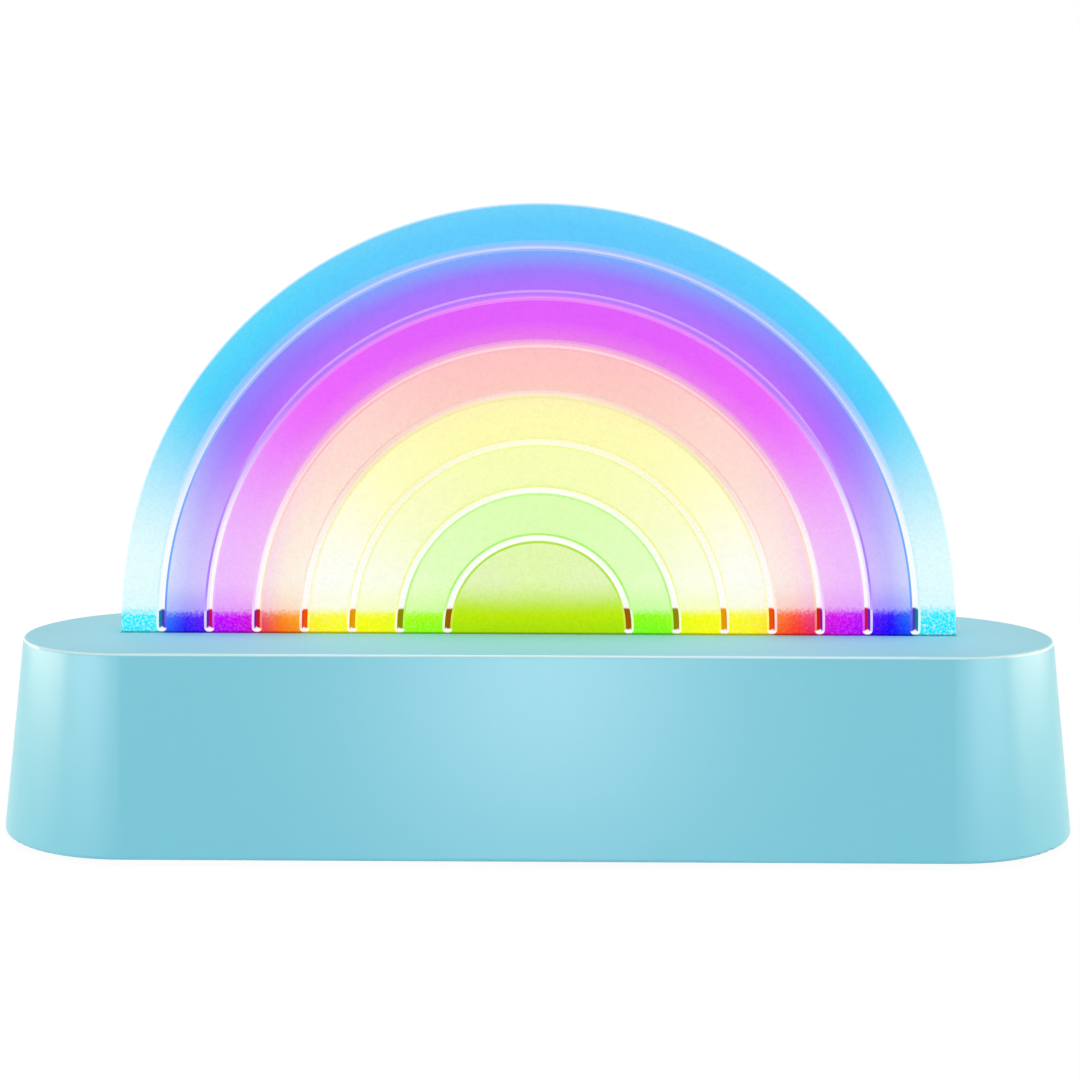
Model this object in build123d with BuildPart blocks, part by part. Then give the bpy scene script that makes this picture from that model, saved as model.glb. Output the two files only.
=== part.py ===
from build123d import *
import os
from math import radians, tan

# Rainbow night light. Sizes are millimetres, angles are degrees.
# Origin: middle of the footprint, on the surface that the lamp stands on.
# +X is to the right of someone facing the lamp, the front faces -Y, and +Z is up.

os.makedirs("parts", exist_ok=True)

# Base shell
end_margin = 20.0
base_width = 50.0
base_height = 32.0
base_draft = 7.0
side_wall = 2.6
roof_wall = 2.4
top_edge_radius = 0.6
bottom_edge_radius = 0.5
rim_width = 1.6
rib_thickness = 1.2
rib_depth = 1.0
end_rib_x = 54.0
front_rib_spacing = 27.0

# Light guide plate
plate_radius = 70.0
plate_thickness = 5.0
plate_gap = 0.2
plate_edge_break = 0.3
arch_rise = 1.0
outer_band = 6.8
groove_count = 7
groove_pitch = 8.0
groove_width = 0.95
web_thickness = 1.0
tongue_depth = 8.0
ear_width = 3.0
seal_thickness = 0.8
diffuser_thickness = 0.8

# Holder that clamps the plate under the roof
holder_wall = 2.0
holder_corner_radius = 1.0
lug_x = 45.0
lug_reach = 4.6
lug_radius = 3.2
lug_thickness = 2.4
end_post_radius = 3.0

# Light divider and light board
divider_height = 5.0
divider_wall = 1.8
cell_length = 7.0
cell_base = 5.6
led_size = 5.0
led_height = 1.6
led_window = 3.8
led_window_depth = 0.3
board_thickness = 1.6
board_corner_radius = 2.0
led_board_width = 12.0
led_board_margin = 3.0

# Bottom cover, its pillars and its feet
cover_thickness = 2.2
cover_gap = 0.3
cover_lip_height = 1.6
cover_lip_width = 1.2
pillar_from_end = 24.0
pillar_from_side = 12.5
pillar_radius = 3.25
gusset_thickness = 1.4
foot_radius = 4.5
foot_thickness = 1.8
foot_proud = 1.0
foot_edge_break = 0.4
foot_from_end = 16.0
foot_from_side = 17.0
foot_gap = 0.2

# Screws
screw_radius = 1.25
screw_fit = 0.05
screw_pass = 0.25
screw_head_radius = 2.3
screw_head_height = 1.6
screw_recess_depth = 0.7
screw_recess_width = 0.6
cover_screw_length = 12.0
holder_screw_length = 7.5
divider_screw_length = 6.5
control_screw_length = 6.0

# Control board and what it carries
control_left = -11.0
control_length = 55.0
control_width = 32.0
control_to_wall = 2.4
standoff_height = 4.0
standoff_radius = 3.0
standoff_inset = 4.2
chip_size = 7.0
chip_height = 1.2
chip_gap = 1.0
inductor_size = 5.0
inductor_height = 3.0
inductor_gap = 8.0
chip_y = -3.0

# Charging socket
usb_x = 26.0
usb_width = 8.94
usb_height = 3.26
usb_depth = 7.35
usb_shell_wall = 0.3
usb_back_wall = 0.6
usb_tongue_width = 6.7
usb_tongue_height = 0.7
usb_tongue_length = 4.5
usb_port_gap = 0.35
usb_pocket_margin = 2.3
usb_pad_wall = 0.8
usb_pad_margin = 1.2
usb_seat_gap = 0.2

# Charge light
charge_x = 14.0
pipe_radius = 1.2
pipe_gap = 0.1
pipe_flange_radius = 2.0
pipe_flange = 1.0
pipe_length = 1.6
charge_led_gap = 0.3
charge_led_width = 1.6
charge_led_depth = 0.9
charge_led_height = 1.5

# Push button
button_length = 14.0
button_height = 6.0
button_gap = 0.3
button_proud = 0.9
button_edge_radius = 0.4
button_travel = 0.6
button_flange_margin = 1.5
button_flange = 1.2
button_stem_radius = 1.8
button_stem = 0.8
guide_wall = 2.2
guide_inset = 0.4
switch_width = 6.2
switch_depth = 4.0
switch_height = 7.2
switch_axis_height = 5.0
plunger_radius = 1.5
plunger_gap = 0.3
plunger_reach = 1.6
plunger_inside = 1.4

# Battery
battery_length = 40.0
battery_width = 30.0
battery_thickness = 10.0
battery_edge_radius = 2.0
battery_gap = 0.5
battery_to_board = 5.0
pad_thickness = 0.8
tray_wall = 1.2
tray_height = 5.0
wire_radius = 0.6
wire_spacing = 2.0
wire_bend = 4.0
wire_run = 2.0
plug_from_edge = 4.0
plug_width = 5.8
plug_depth = 5.0
plug_height = 4.0
header_wall = 0.8
header_gap = 0.1
header_to_screw = 0.6

# Ribbon between the two boards
ribbon_from_end = 12.0
ribbon_width = 8.0
ribbon_thickness = 0.4
ribbon_straight = 5.0
ribbon_grip = 3.0
ribbon_gap = 0.1
socket_depth = 5.0
socket_height = 2.4
socket_border = 1.5

# Levels worked out from the sizes above
lean = tan(radians(base_draft))
base_length = 2 * (plate_radius + end_margin)
bottom_z = foot_proud
base_top = bottom_z + base_height
roof_under = base_top - roof_wall
roof_middle = roof_under + roof_wall / 2
cover_top = bottom_z + cover_thickness
arch_z = base_top + arch_rise
ear_top = roof_under - seal_thickness
tongue_bottom = base_top - tongue_depth
divider_top = tongue_bottom - diffuser_thickness
boss_bottom = divider_top + lug_thickness
led_board_top = divider_top - divider_height
led_board_bottom = led_board_top - board_thickness
control_bottom = cover_top + standoff_height
control_top = control_bottom + board_thickness
rib_bottom = cover_top + cover_lip_height + cover_gap
usb_z = control_top + usb_height / 2
switch_z = control_top + switch_axis_height
battery_bottom = cover_top + pad_thickness

# Places worked out from the sizes above
pillar_x = base_length / 2 - pillar_from_end
pillar_y = base_width / 2 - pillar_from_side
foot_x = base_length / 2 - foot_from_end
foot_y = base_width / 2 - foot_from_side
groove_radii = [plate_radius - outer_band - groove_pitch * k for k in range(groove_count)]
arch_distances = [radius + groove_pitch / 2 for radius in groove_radii]
arch_feet = [(side * distance, 0) for distance in arch_distances for side in (-1, 1)]
inner_led_x = groove_radii[-1] / 2
led_places = arch_feet + [(-inner_led_x, 0), (inner_led_x, 0)]
ear_half = plate_radius + ear_width
holder_half = ear_half + plate_gap + holder_wall
holder_width = plate_thickness + 2 * (plate_gap + holder_wall)
end_post_x = holder_half + end_post_radius - holder_wall / 2
lug_y = holder_width / 2 + lug_reach
divider_width = plate_thickness + 2 * divider_wall
led_board_length = 2 * (end_post_x + led_board_margin)
battery_right = control_left - battery_to_board
battery_x = battery_right - battery_length / 2
control_x = control_left + control_length / 2
standoff_span_x = control_length - 2 * standoff_inset
standoff_span_y = control_width - 2 * standoff_inset
ribbon_x = control_left + control_length - ribbon_from_end
socket_half = ribbon_width / 2 + socket_border
chip_x = ribbon_x - socket_half - chip_gap - chip_size / 2
inductor_x = chip_x - chip_size / 2 - inductor_gap - inductor_size / 2


def wall_y(height):
    """Half the width of the base's outer form at a height."""
    return base_width / 2 - (height - bottom_z) * lean


# Depths of what sits at the back wall, each seated on the piece in front of it
control_y = wall_y(control_top) - side_wall - control_to_wall - control_width / 2
guide_half_height = button_height / 2 + button_gap + guide_wall
guide_y = wall_y(switch_z + guide_half_height) - side_wall - guide_inset
flange_y = guide_y - button_flange
plunger_y = flange_y - button_stem
switch_y = plunger_y - plunger_reach
usb_pocket_width = usb_width + 2 * usb_pocket_margin
usb_pocket_height = usb_height + 2 * usb_pocket_margin
usb_pad_width = usb_pocket_width + 2 * usb_pad_margin
usb_pad_height = usb_pocket_height + 2 * usb_pad_margin
usb_pad_y = wall_y(usb_z + usb_pad_height / 2) - side_wall
usb_pocket_y = usb_pad_y + usb_pad_wall
usb_y = usb_pad_y - usb_seat_gap
pipe_flange_y = wall_y(usb_z + pipe_flange_radius) - side_wall
pipe_end_y = pipe_flange_y - pipe_flange - pipe_length
charge_led_y = pipe_end_y - charge_led_gap


def drafted_stadium(inset, low, high):
    """The base's leaning stadium between two heights, drawn in on every side by an inset."""
    shrink = 2 * (inset + (low - bottom_z) * lean)
    with BuildPart(mode=Mode.PRIVATE) as form:
        with BuildSketch(Plane.XY.offset(low)):
            SlotOverall(base_length - shrink, base_width - shrink)
        extrude(amount=high - low, taper=base_draft)
    return form.part


def facing_down(height):
    """A plane at a height that looks down, so that holes in it are drilled upwards."""
    return Plane((0, 0, height), x_dir=(1, 0, 0), z_dir=(0, 0, -1))


def back_plane(depth):
    """An upright plane at a depth behind the middle, which extrudes towards the front."""
    return Plane.XZ.offset(-depth)


def self_tapping_screw(length, countersunk=False):
    """A screw that points up, with the face its head bears on, or is flush with, at z = 0."""
    rise = screw_head_radius - screw_radius if countersunk else 0
    head_face = 0 if countersunk else -screw_head_height
    crown = (screw_head_radius * 0.7, head_face)
    edge = (screw_head_radius, head_face / 2)
    with BuildPart(mode=Mode.PRIVATE) as screw:
        with BuildSketch(Plane.XZ):
            with BuildLine():
                if countersunk:
                    Polyline((0, head_face), edge, (screw_radius, rise))
                else:
                    Polyline((0, head_face), crown, edge, (screw_head_radius, 0), (screw_radius, 0))
                Line((screw_radius, rise), (screw_radius, length - screw_radius))
                Line((screw_radius, length - screw_radius), (0, length))
                Line((0, length), (0, head_face))
            make_face()
        revolve(axis=Axis.Z)
        with BuildSketch(Plane.XY.offset(head_face)):
            Rectangle(screw_head_radius * 1.2, screw_recess_width)
            Rectangle(screw_recess_width, screw_head_radius * 1.2)
        extrude(amount=screw_recess_depth, mode=Mode.SUBTRACT)
    return screw.part


def light_cell(low_length, high_length):
    """The hollow of one divider cell, from round its light up to the plate's edge."""
    with BuildPart(mode=Mode.PRIVATE) as cell:
        with BuildSketch(Plane.XY.offset(led_board_top)):
            Rectangle(low_length, cell_base)
        with BuildSketch(Plane.XY.offset(divider_top)):
            Rectangle(high_length, plate_thickness)
        loft()
    return cell.part


def ribbon_socket(floor_z, rise):
    """A ribbon socket that stands on a board, with its mouth to the front."""
    with BuildPart(mode=Mode.PRIVATE) as socket:
        with Locations((ribbon_x, 0, floor_z + rise * socket_height / 2)):
            Box(2 * socket_half, socket_depth, socket_height)
        with BuildSketch(Plane.XZ.offset(socket_depth / 2)):
            with Locations((ribbon_x, floor_z + rise * socket_height / 2)):
                Rectangle(ribbon_width + 2 * ribbon_gap, ribbon_thickness + 2 * ribbon_gap)
        extrude(amount=-ribbon_grip - ribbon_gap, mode=Mode.SUBTRACT)
    return socket.part


outer_form = drafted_stadium(0, bottom_z, base_top)
proud_form = drafted_stadium(-button_proud, bottom_z, base_top)
cavity_form = drafted_stadium(side_wall, bottom_z, roof_under)
middle_form = drafted_stadium(side_wall / 2, bottom_z, roof_middle)

# What stands inside the shell: screw pillars, ribs, the holder's bosses, and thicker pads
# behind the back openings. It ends in the middle of the walls, so nothing shows outside.
rib_y = wall_y(roof_under) - side_wall - rib_depth
rib_length = base_width / 2 - rib_y
gusset_length = base_width / 2 - pillar_y

with BuildPart() as shell_inside:
    with BuildSketch(Plane.XY.offset(cover_top)):
        with GridLocations(2 * pillar_x, 2 * pillar_y, 2, 2):
            Circle(pillar_radius)
    extrude(amount=roof_middle - cover_top)
    with BuildSketch(Plane.XY.offset(rib_bottom)):
        with GridLocations(2 * pillar_x, 2 * pillar_y + gusset_length, 2, 2):
            Rectangle(gusset_thickness, gusset_length)
        with GridLocations(2 * end_rib_x, 2 * rib_y + rib_length, 2, 2):
            Rectangle(rib_thickness, rib_length)
        with Locations((0, -rib_y - rib_length / 2)):
            with GridLocations(front_rib_spacing, 1, 3, 1):
                Rectangle(rib_thickness, rib_length)
    extrude(amount=roof_middle - rib_bottom)
    with BuildSketch(Plane.XY.offset(boss_bottom)):
        with GridLocations(2 * lug_x, 2 * lug_y, 2, 2):
            Circle(lug_radius)
    extrude(amount=roof_middle - boss_bottom)
    with BuildSketch(back_plane(guide_y)):
        with Locations((0, switch_z)):
            SlotOverall(button_length + 2 * (button_gap + guide_wall), 2 * guide_half_height)
    extrude(amount=guide_y - base_width / 2)
    with BuildSketch(back_plane(usb_pad_y)):
        with Locations((usb_x, usb_z)):
            SlotOverall(usb_pad_width, usb_pad_height)
    extrude(amount=usb_pad_y - base_width / 2)
    add(middle_form, mode=Mode.INTERSECT)

# The shell: a leaning stadium with full round ends, hollow and open below
with BuildPart() as base_shell:
    add(outer_form)
    fillet(base_shell.faces().sort_by(Axis.Z)[-1].edges(), top_edge_radius)
    fillet(base_shell.faces().sort_by(Axis.Z)[0].edges(), bottom_edge_radius)
    add(cavity_form, mode=Mode.SUBTRACT)
    with BuildSketch(Plane.XY.offset(bottom_z)):
        SlotOverall(base_length - 2 * rim_width, base_width - 2 * rim_width)
    extrude(amount=cover_thickness, mode=Mode.SUBTRACT)
    add(shell_inside.part)
    # Slot in the roof for the plate
    with BuildSketch(Plane.XY.offset(base_top)):
        Rectangle(2 * (plate_radius + plate_gap), plate_thickness + 2 * plate_gap)
    extrude(amount=-roof_wall, mode=Mode.SUBTRACT)
    # Screw holes in the pillars and in the holder's bosses
    with Locations(facing_down(cover_top)):
        with GridLocations(2 * pillar_x, 2 * pillar_y, 2, 2):
            Hole(screw_radius + screw_fit, cover_screw_length)
    with Locations(facing_down(boss_bottom)):
        with GridLocations(2 * lug_x, 2 * lug_y, 2, 2):
            Hole(screw_radius + screw_fit, holder_screw_length - lug_thickness + screw_fit)
    # Openings in the back wall for the button, the charge light and the charging socket
    with BuildSketch(back_plane(base_width / 2)):
        with Locations((0, switch_z)):
            SlotOverall(button_length + 2 * button_gap, button_height + 2 * button_gap)
        with Locations((charge_x, usb_z)):
            Circle(pipe_radius + pipe_gap)
        with Locations((usb_x, usb_z)):
            SlotOverall(usb_width + 2 * usb_port_gap, usb_height + 2 * usb_port_gap)
    extrude(amount=base_width / 2 - guide_y + guide_inset, mode=Mode.SUBTRACT)
    with BuildSketch(back_plane(base_width / 2)):
        with Locations((usb_x, usb_z)):
            SlotOverall(usb_pocket_width, usb_pocket_height)
    extrude(amount=base_width / 2 - usb_pocket_y, mode=Mode.SUBTRACT)
base_shell.part.label = "base_shell"
export_step(base_shell.part, "parts/base_shell.step")

# The light guide: a half disc on a straight tongue. Its ears bear on the roof from below.
with BuildPart() as rainbow_plate:
    with BuildSketch(Plane.XZ):
        with Locations((0, arch_z)):
            Circle(plate_radius)
            Rectangle(2 * plate_radius, plate_radius, align=(Align.CENTER, Align.MAX),
                      mode=Mode.SUBTRACT)
        with Locations((0, tongue_bottom)):
            Rectangle(2 * plate_radius, arch_z - tongue_bottom, align=(Align.CENTER, Align.MIN))
            Rectangle(2 * ear_half, ear_top - tongue_bottom, align=(Align.CENTER, Align.MIN))
    extrude(amount=plate_thickness / 2, both=True)
    rim_edges = rainbow_plate.edges().filter_by(Plane.XZ)
    rim_edges = rim_edges.filter_by(lambda edge: edge.center().Z > ear_top + plate_edge_break)
    chamfer(rim_edges, plate_edge_break)
    # Seven arch grooves with round ends in each face. A thin web behind them joins the arches.
    for face in (-1, 1):
        with BuildSketch(Plane.XZ.offset(face * web_thickness / 2)):
            with Locations((0, arch_z)):
                for radius in groove_radii:
                    Circle(radius + groove_width / 2)
                    Circle(radius - groove_width / 2, mode=Mode.SUBTRACT)
                Rectangle(2 * plate_radius, plate_radius, align=(Align.CENTER, Align.MAX),
                          mode=Mode.SUBTRACT)
                with Locations(*[(side * radius, 0) for radius in groove_radii for side in (-1, 1)]):
                    Circle(groove_width / 2)
        extrude(amount=face * (plate_thickness - web_thickness) / 2, mode=Mode.SUBTRACT)
rainbow_plate.part.label = "rainbow_plate"
export_step(rainbow_plate.part, "parts/rainbow_plate.step")

# Soft frame between the roof and the ears
with BuildPart() as plate_seal:
    with BuildSketch(Plane.XY.offset(ear_top)):
        RectangleRounded(2 * holder_half, holder_width, holder_corner_radius)
        Rectangle(2 * (plate_radius + plate_gap), plate_thickness + 2 * plate_gap,
                  mode=Mode.SUBTRACT)
    extrude(amount=seal_thickness)
plate_seal.part.label = "plate_seal"
export_step(plate_seal.part, "parts/plate_seal.step")

# Frame that holds the tongue in line and is screwed up to the roof's bosses
with BuildPart() as plate_holder:
    with BuildSketch(Plane.XY.offset(divider_top)):
        RectangleRounded(2 * holder_half, holder_width, holder_corner_radius)
    extrude(amount=ear_top - divider_top)
    with BuildSketch(Plane.XY.offset(divider_top)):
        with GridLocations(2 * lug_x, 2 * lug_y, 2, 2):
            Circle(lug_radius)
        with GridLocations(2 * lug_x, 1, 2, 1):
            Rectangle(2 * lug_radius, 2 * lug_y)
    extrude(amount=lug_thickness)
    with BuildSketch(Plane.XY.offset(led_board_top)):
        with GridLocations(2 * end_post_x, 1, 2, 1):
            Circle(end_post_radius)
    extrude(amount=ear_top - led_board_top)
    with BuildSketch(Plane.XY.offset(divider_top)):
        Rectangle(2 * (ear_half + plate_gap), plate_thickness + 2 * plate_gap)
    extrude(amount=ear_top - divider_top, mode=Mode.SUBTRACT)
    with Locations(facing_down(divider_top)):
        with GridLocations(2 * lug_x, 2 * lug_y, 2, 2):
            Hole(screw_radius + screw_pass, lug_thickness)
    with Locations(facing_down(led_board_top)):
        with GridLocations(2 * end_post_x, 1, 2, 1):
            Hole(screw_radius + screw_fit, divider_screw_length)
plate_holder.part.label = "plate_holder"
export_step(plate_holder.part, "parts/plate_holder.step")

# Opal strip that evens out the light under the tongue
with BuildPart() as diffuser_strip:
    with BuildSketch(Plane.XY.offset(divider_top)):
        Rectangle(2 * ear_half, plate_thickness)
    extrude(amount=diffuser_thickness)
diffuser_strip.part.label = "diffuser_strip"
export_step(diffuser_strip.part, "parts/diffuser_strip.step")

# White comb with one funnel for each arch foot and a wide one for the inner half disc
arch_cell = light_cell(cell_base, cell_length)
inner_cell = light_cell(2 * inner_led_x + cell_base, 2 * groove_radii[-1] - groove_pitch + cell_length)

with BuildPart() as light_divider:
    with BuildSketch(Plane.XY.offset(led_board_top)):
        Rectangle(2 * ear_half, divider_width)
    extrude(amount=divider_height)
    with Locations(*arch_feet):
        add(arch_cell, mode=Mode.SUBTRACT)
    add(inner_cell, mode=Mode.SUBTRACT)
light_divider.part.label = "light_divider"
export_step(light_divider.part, "parts/light_divider.step")

with BuildPart() as led_board:
    with BuildSketch(Plane.XY.offset(led_board_bottom)):
        RectangleRounded(led_board_length, led_board_width, board_corner_radius)
        with GridLocations(2 * end_post_x, 1, 2, 1):
            Circle(screw_radius + screw_pass, mode=Mode.SUBTRACT)
    extrude(amount=board_thickness)
led_board.part.label = "led_board"
export_step(led_board.part, "parts/led_board.step")

with BuildPart() as leds:
    with BuildSketch(Plane.XY.offset(led_board_top)):
        with Locations(*led_places):
            Rectangle(led_size, led_size)
    extrude(amount=led_height)
    with BuildSketch(Plane.XY.offset(led_board_top + led_height)):
        with Locations(*led_places):
            Circle(led_window / 2)
    extrude(amount=-led_window_depth, mode=Mode.SUBTRACT)
leds.part.label = "leds"
export_step(leds.part, "parts/leds.step")

upper_socket = ribbon_socket(led_board_bottom, -1)
upper_socket.label = "led_socket"
export_step(upper_socket, "parts/led_socket.step")

lower_socket = ribbon_socket(control_top, 1)
lower_socket.label = "control_socket"
export_step(lower_socket, "parts/control_socket.step")

# Ribbon from one socket round a half turn into the other
upper_z = led_board_bottom - socket_height / 2
lower_z = control_top + socket_height / 2
ribbon_turn_z = (upper_z + lower_z) / 2
ribbon_turn_y = -socket_depth / 2 - ribbon_straight
ribbon_end_y = -socket_depth / 2 + ribbon_grip
ribbon_turn_radius = (upper_z - lower_z) / 2
half_ribbon = ribbon_thickness / 2

with BuildPart() as ribbon:
    with BuildSketch(Plane.YZ.offset(ribbon_x - ribbon_width / 2)):
        with BuildLine():
            CenterArc((ribbon_turn_y, ribbon_turn_z), ribbon_turn_radius + half_ribbon, 90, 180)
            CenterArc((ribbon_turn_y, ribbon_turn_z), ribbon_turn_radius - half_ribbon, 90, 180)
            for level in (upper_z, lower_z):
                Polyline((ribbon_turn_y, level + half_ribbon), (ribbon_end_y, level + half_ribbon),
                         (ribbon_end_y, level - half_ribbon), (ribbon_turn_y, level - half_ribbon))
        make_face()
    extrude(amount=ribbon_width)
ribbon.part.label = "ribbon"
export_step(ribbon.part, "parts/ribbon.step")

# Bottom cover with its lip, standoffs for the control board and a tray for the battery
with BuildPart() as cover_lip:
    add(drafted_stadium(side_wall + cover_gap, cover_top, cover_top + cover_lip_height))
    add(drafted_stadium(side_wall + cover_gap + cover_lip_width, cover_top,
                        cover_top + cover_lip_height), mode=Mode.SUBTRACT)

with BuildPart() as bottom_cover:
    with BuildSketch(Plane.XY.offset(bottom_z)):
        SlotOverall(base_length - 2 * (rim_width + cover_gap),
                    base_width - 2 * (rim_width + cover_gap))
    extrude(amount=cover_thickness)
    add(cover_lip.part)
    with BuildSketch(Plane.XY.offset(cover_top)):
        with Locations((control_x, control_y)):
            with GridLocations(standoff_span_x, standoff_span_y, 2, 2):
                Circle(standoff_radius)
    extrude(amount=standoff_height)
    with BuildSketch(Plane.XY.offset(cover_top)):
        with Locations((battery_x, 0)):
            Rectangle(battery_length + 2 * (battery_gap + tray_wall),
                      battery_width + 2 * (battery_gap + tray_wall))
            Rectangle(battery_length + 2 * battery_gap, battery_width + 2 * battery_gap,
                      mode=Mode.SUBTRACT)
    extrude(amount=tray_height)
    with Locations(Plane.XY.offset(control_bottom)):
        with Locations((control_x, control_y)):
            with GridLocations(standoff_span_x, standoff_span_y, 2, 2):
                Hole(screw_radius + screw_fit, control_screw_length - board_thickness + screw_fit)
    with Locations(facing_down(bottom_z)):
        with GridLocations(2 * pillar_x, 2 * pillar_y, 2, 2):
            CounterSinkHole(screw_radius + screw_pass, screw_head_radius + screw_fit,
                            counter_sink_angle=90)
    with BuildSketch(Plane.XY.offset(bottom_z)):
        with GridLocations(2 * foot_x, 2 * foot_y, 2, 2):
            Circle(foot_radius + foot_gap)
    extrude(amount=foot_thickness - foot_proud, mode=Mode.SUBTRACT)
bottom_cover.part.label = "bottom_cover"
export_step(bottom_cover.part, "parts/bottom_cover.step")

with BuildPart() as feet:
    with BuildSketch():
        with GridLocations(2 * foot_x, 2 * foot_y, 2, 2):
            Circle(foot_radius)
    extrude(amount=foot_thickness)
    chamfer(feet.edges().group_by(Axis.Z)[0], foot_edge_break)
feet.part.label = "feet"
export_step(feet.part, "parts/feet.step")

# Four groups of screws
with BuildPart() as cover_screws:
    with Locations(Plane.XY.offset(bottom_z)):
        with GridLocations(2 * pillar_x, 2 * pillar_y, 2, 2):
            add(self_tapping_screw(cover_screw_length, countersunk=True))
cover_screws.part.label = "cover_screws"
export_step(cover_screws.part, "parts/cover_screws.step")

with BuildPart() as holder_screws:
    with Locations(Plane.XY.offset(divider_top)):
        with GridLocations(2 * lug_x, 2 * lug_y, 2, 2):
            add(self_tapping_screw(holder_screw_length))
holder_screws.part.label = "holder_screws"
export_step(holder_screws.part, "parts/holder_screws.step")

with BuildPart() as divider_screws:
    with Locations(Plane.XY.offset(led_board_bottom)):
        with GridLocations(2 * end_post_x, 1, 2, 1):
            add(self_tapping_screw(divider_screw_length))
divider_screws.part.label = "divider_screws"
export_step(divider_screws.part, "parts/divider_screws.step")

with BuildPart() as control_screws:
    with Locations(Plane((control_x, control_y, control_top), x_dir=(1, 0, 0), z_dir=(0, 0, -1))):
        with GridLocations(standoff_span_x, standoff_span_y, 2, 2):
            add(self_tapping_screw(control_screw_length))
control_screws.part.label = "control_screws"
export_step(control_screws.part, "parts/control_screws.step")

# Control board and the pieces soldered to it
with BuildPart() as control_board:
    with BuildSketch(Plane.XY.offset(control_bottom)):
        with Locations((control_x, control_y)):
            RectangleRounded(control_length, control_width, board_corner_radius)
            with GridLocations(standoff_span_x, standoff_span_y, 2, 2):
                Circle(screw_radius + screw_pass, mode=Mode.SUBTRACT)
    extrude(amount=board_thickness)
control_board.part.label = "control_board"
export_step(control_board.part, "parts/control_board.step")

with BuildPart() as control_chip:
    with BuildSketch(Plane.XY.offset(control_top)):
        with Locations((chip_x, chip_y)):
            Rectangle(chip_size, chip_size)
    extrude(amount=chip_height)
control_chip.part.label = "control_chip"
export_step(control_chip.part, "parts/control_chip.step")

with BuildPart() as power_inductor:
    with BuildSketch(Plane.XY.offset(control_top)):
        with Locations((inductor_x, chip_y)):
            RectangleRounded(inductor_size, inductor_size, inductor_size / 5)
    extrude(amount=inductor_height)
power_inductor.part.label = "power_inductor"
export_step(power_inductor.part, "parts/power_inductor.step")

# Charging socket: a rolled metal shell and the contact tongue in it
with BuildPart() as usb_shell:
    with BuildSketch(back_plane(usb_y)):
        with Locations((usb_x, usb_z)):
            SlotOverall(usb_width, usb_height)
    extrude(amount=usb_depth)
    with BuildSketch(back_plane(usb_y)):
        with Locations((usb_x, usb_z)):
            SlotOverall(usb_width - 2 * usb_shell_wall, usb_height - 2 * usb_shell_wall)
    extrude(amount=usb_depth - usb_back_wall, mode=Mode.SUBTRACT)
usb_shell.part.label = "usb_shell"
export_step(usb_shell.part, "parts/usb_shell.step")

with BuildPart() as usb_tongue:
    with BuildSketch(back_plane(usb_y - usb_depth + usb_back_wall)):
        with Locations((usb_x, usb_z)):
            Rectangle(usb_tongue_width, usb_tongue_height)
    extrude(amount=-usb_tongue_length)
usb_tongue.part.label = "usb_tongue"
export_step(usb_tongue.part, "parts/usb_tongue.step")

# Charge light: a light on the board and a clear pipe through the wall
with BuildPart() as charge_led:
    with BuildSketch(Plane.XY.offset(control_top)):
        with Locations((charge_x, charge_led_y - charge_led_depth / 2)):
            Rectangle(charge_led_width, charge_led_depth)
    extrude(amount=charge_led_height)
charge_led.part.label = "charge_led"
export_step(charge_led.part, "parts/charge_led.step")

with BuildPart() as charge_light_pipe:
    with BuildSketch(back_plane(pipe_end_y)):
        with Locations((charge_x, usb_z)):
            Circle(pipe_radius)
    extrude(amount=pipe_end_y - base_width / 2)
    with BuildSketch(back_plane(pipe_flange_y)):
        with Locations((charge_x, usb_z)):
            Circle(pipe_flange_radius)
    extrude(amount=pipe_flange)
    add(outer_form, mode=Mode.INTERSECT)
charge_light_pipe.part.label = "charge_light_pipe"
export_step(charge_light_pipe.part, "parts/charge_light_pipe.step")

# Push switch: its bore leaves room behind the plunger for the whole travel
with BuildPart() as switch_body:
    with BuildSketch(Plane.XY.offset(control_top)):
        with Locations((0, switch_y - switch_depth / 2)):
            Rectangle(switch_width, switch_depth)
    extrude(amount=switch_height)
    with BuildSketch(back_plane(switch_y)):
        with Locations((0, switch_z)):
            Circle(plunger_radius + plunger_gap)
    extrude(amount=plunger_inside + button_travel + plunger_gap, mode=Mode.SUBTRACT)
switch_body.part.label = "switch_body"
export_step(switch_body.part, "parts/switch_body.step")

with BuildPart() as switch_plunger:
    with BuildSketch(back_plane(plunger_y)):
        with Locations((0, switch_z)):
            Circle(plunger_radius)
    extrude(amount=plunger_reach + plunger_inside)
switch_plunger.part.label = "switch_plunger"
export_step(switch_plunger.part, "parts/switch_plunger.step")

# Button cap: its face leans with the wall, and its flange keeps it in from behind
with BuildPart() as button_cap:
    with BuildSketch(back_plane(guide_y)):
        with Locations((0, switch_z)):
            SlotOverall(button_length, button_height)
    extrude(amount=guide_y - base_width / 2)
    add(proud_form, mode=Mode.INTERSECT)
    fillet(button_cap.faces().sort_by(Axis.Y)[-1].edges(), button_edge_radius)
    with BuildSketch(back_plane(guide_y)):
        with Locations((0, switch_z)):
            SlotOverall(button_length + 2 * button_flange_margin,
                        button_height + 2 * button_flange_margin)
    extrude(amount=button_flange)
    with BuildSketch(back_plane(flange_y)):
        with Locations((0, switch_z)):
            Circle(button_stem_radius)
    extrude(amount=button_stem)
button_cap.part.label = "button_cap"
export_step(button_cap.part, "parts/button_cap.step")

# Battery on its foam pad, and its lead
with BuildPart() as battery_cell:
    with BuildSketch(Plane.YZ.offset(battery_right)):
        with Locations((0, battery_bottom + battery_thickness / 2)):
            RectangleRounded(battery_width, battery_thickness, battery_edge_radius)
    extrude(amount=-battery_length)
battery_cell.part.label = "battery_cell"
export_step(battery_cell.part, "parts/battery_cell.step")

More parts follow.
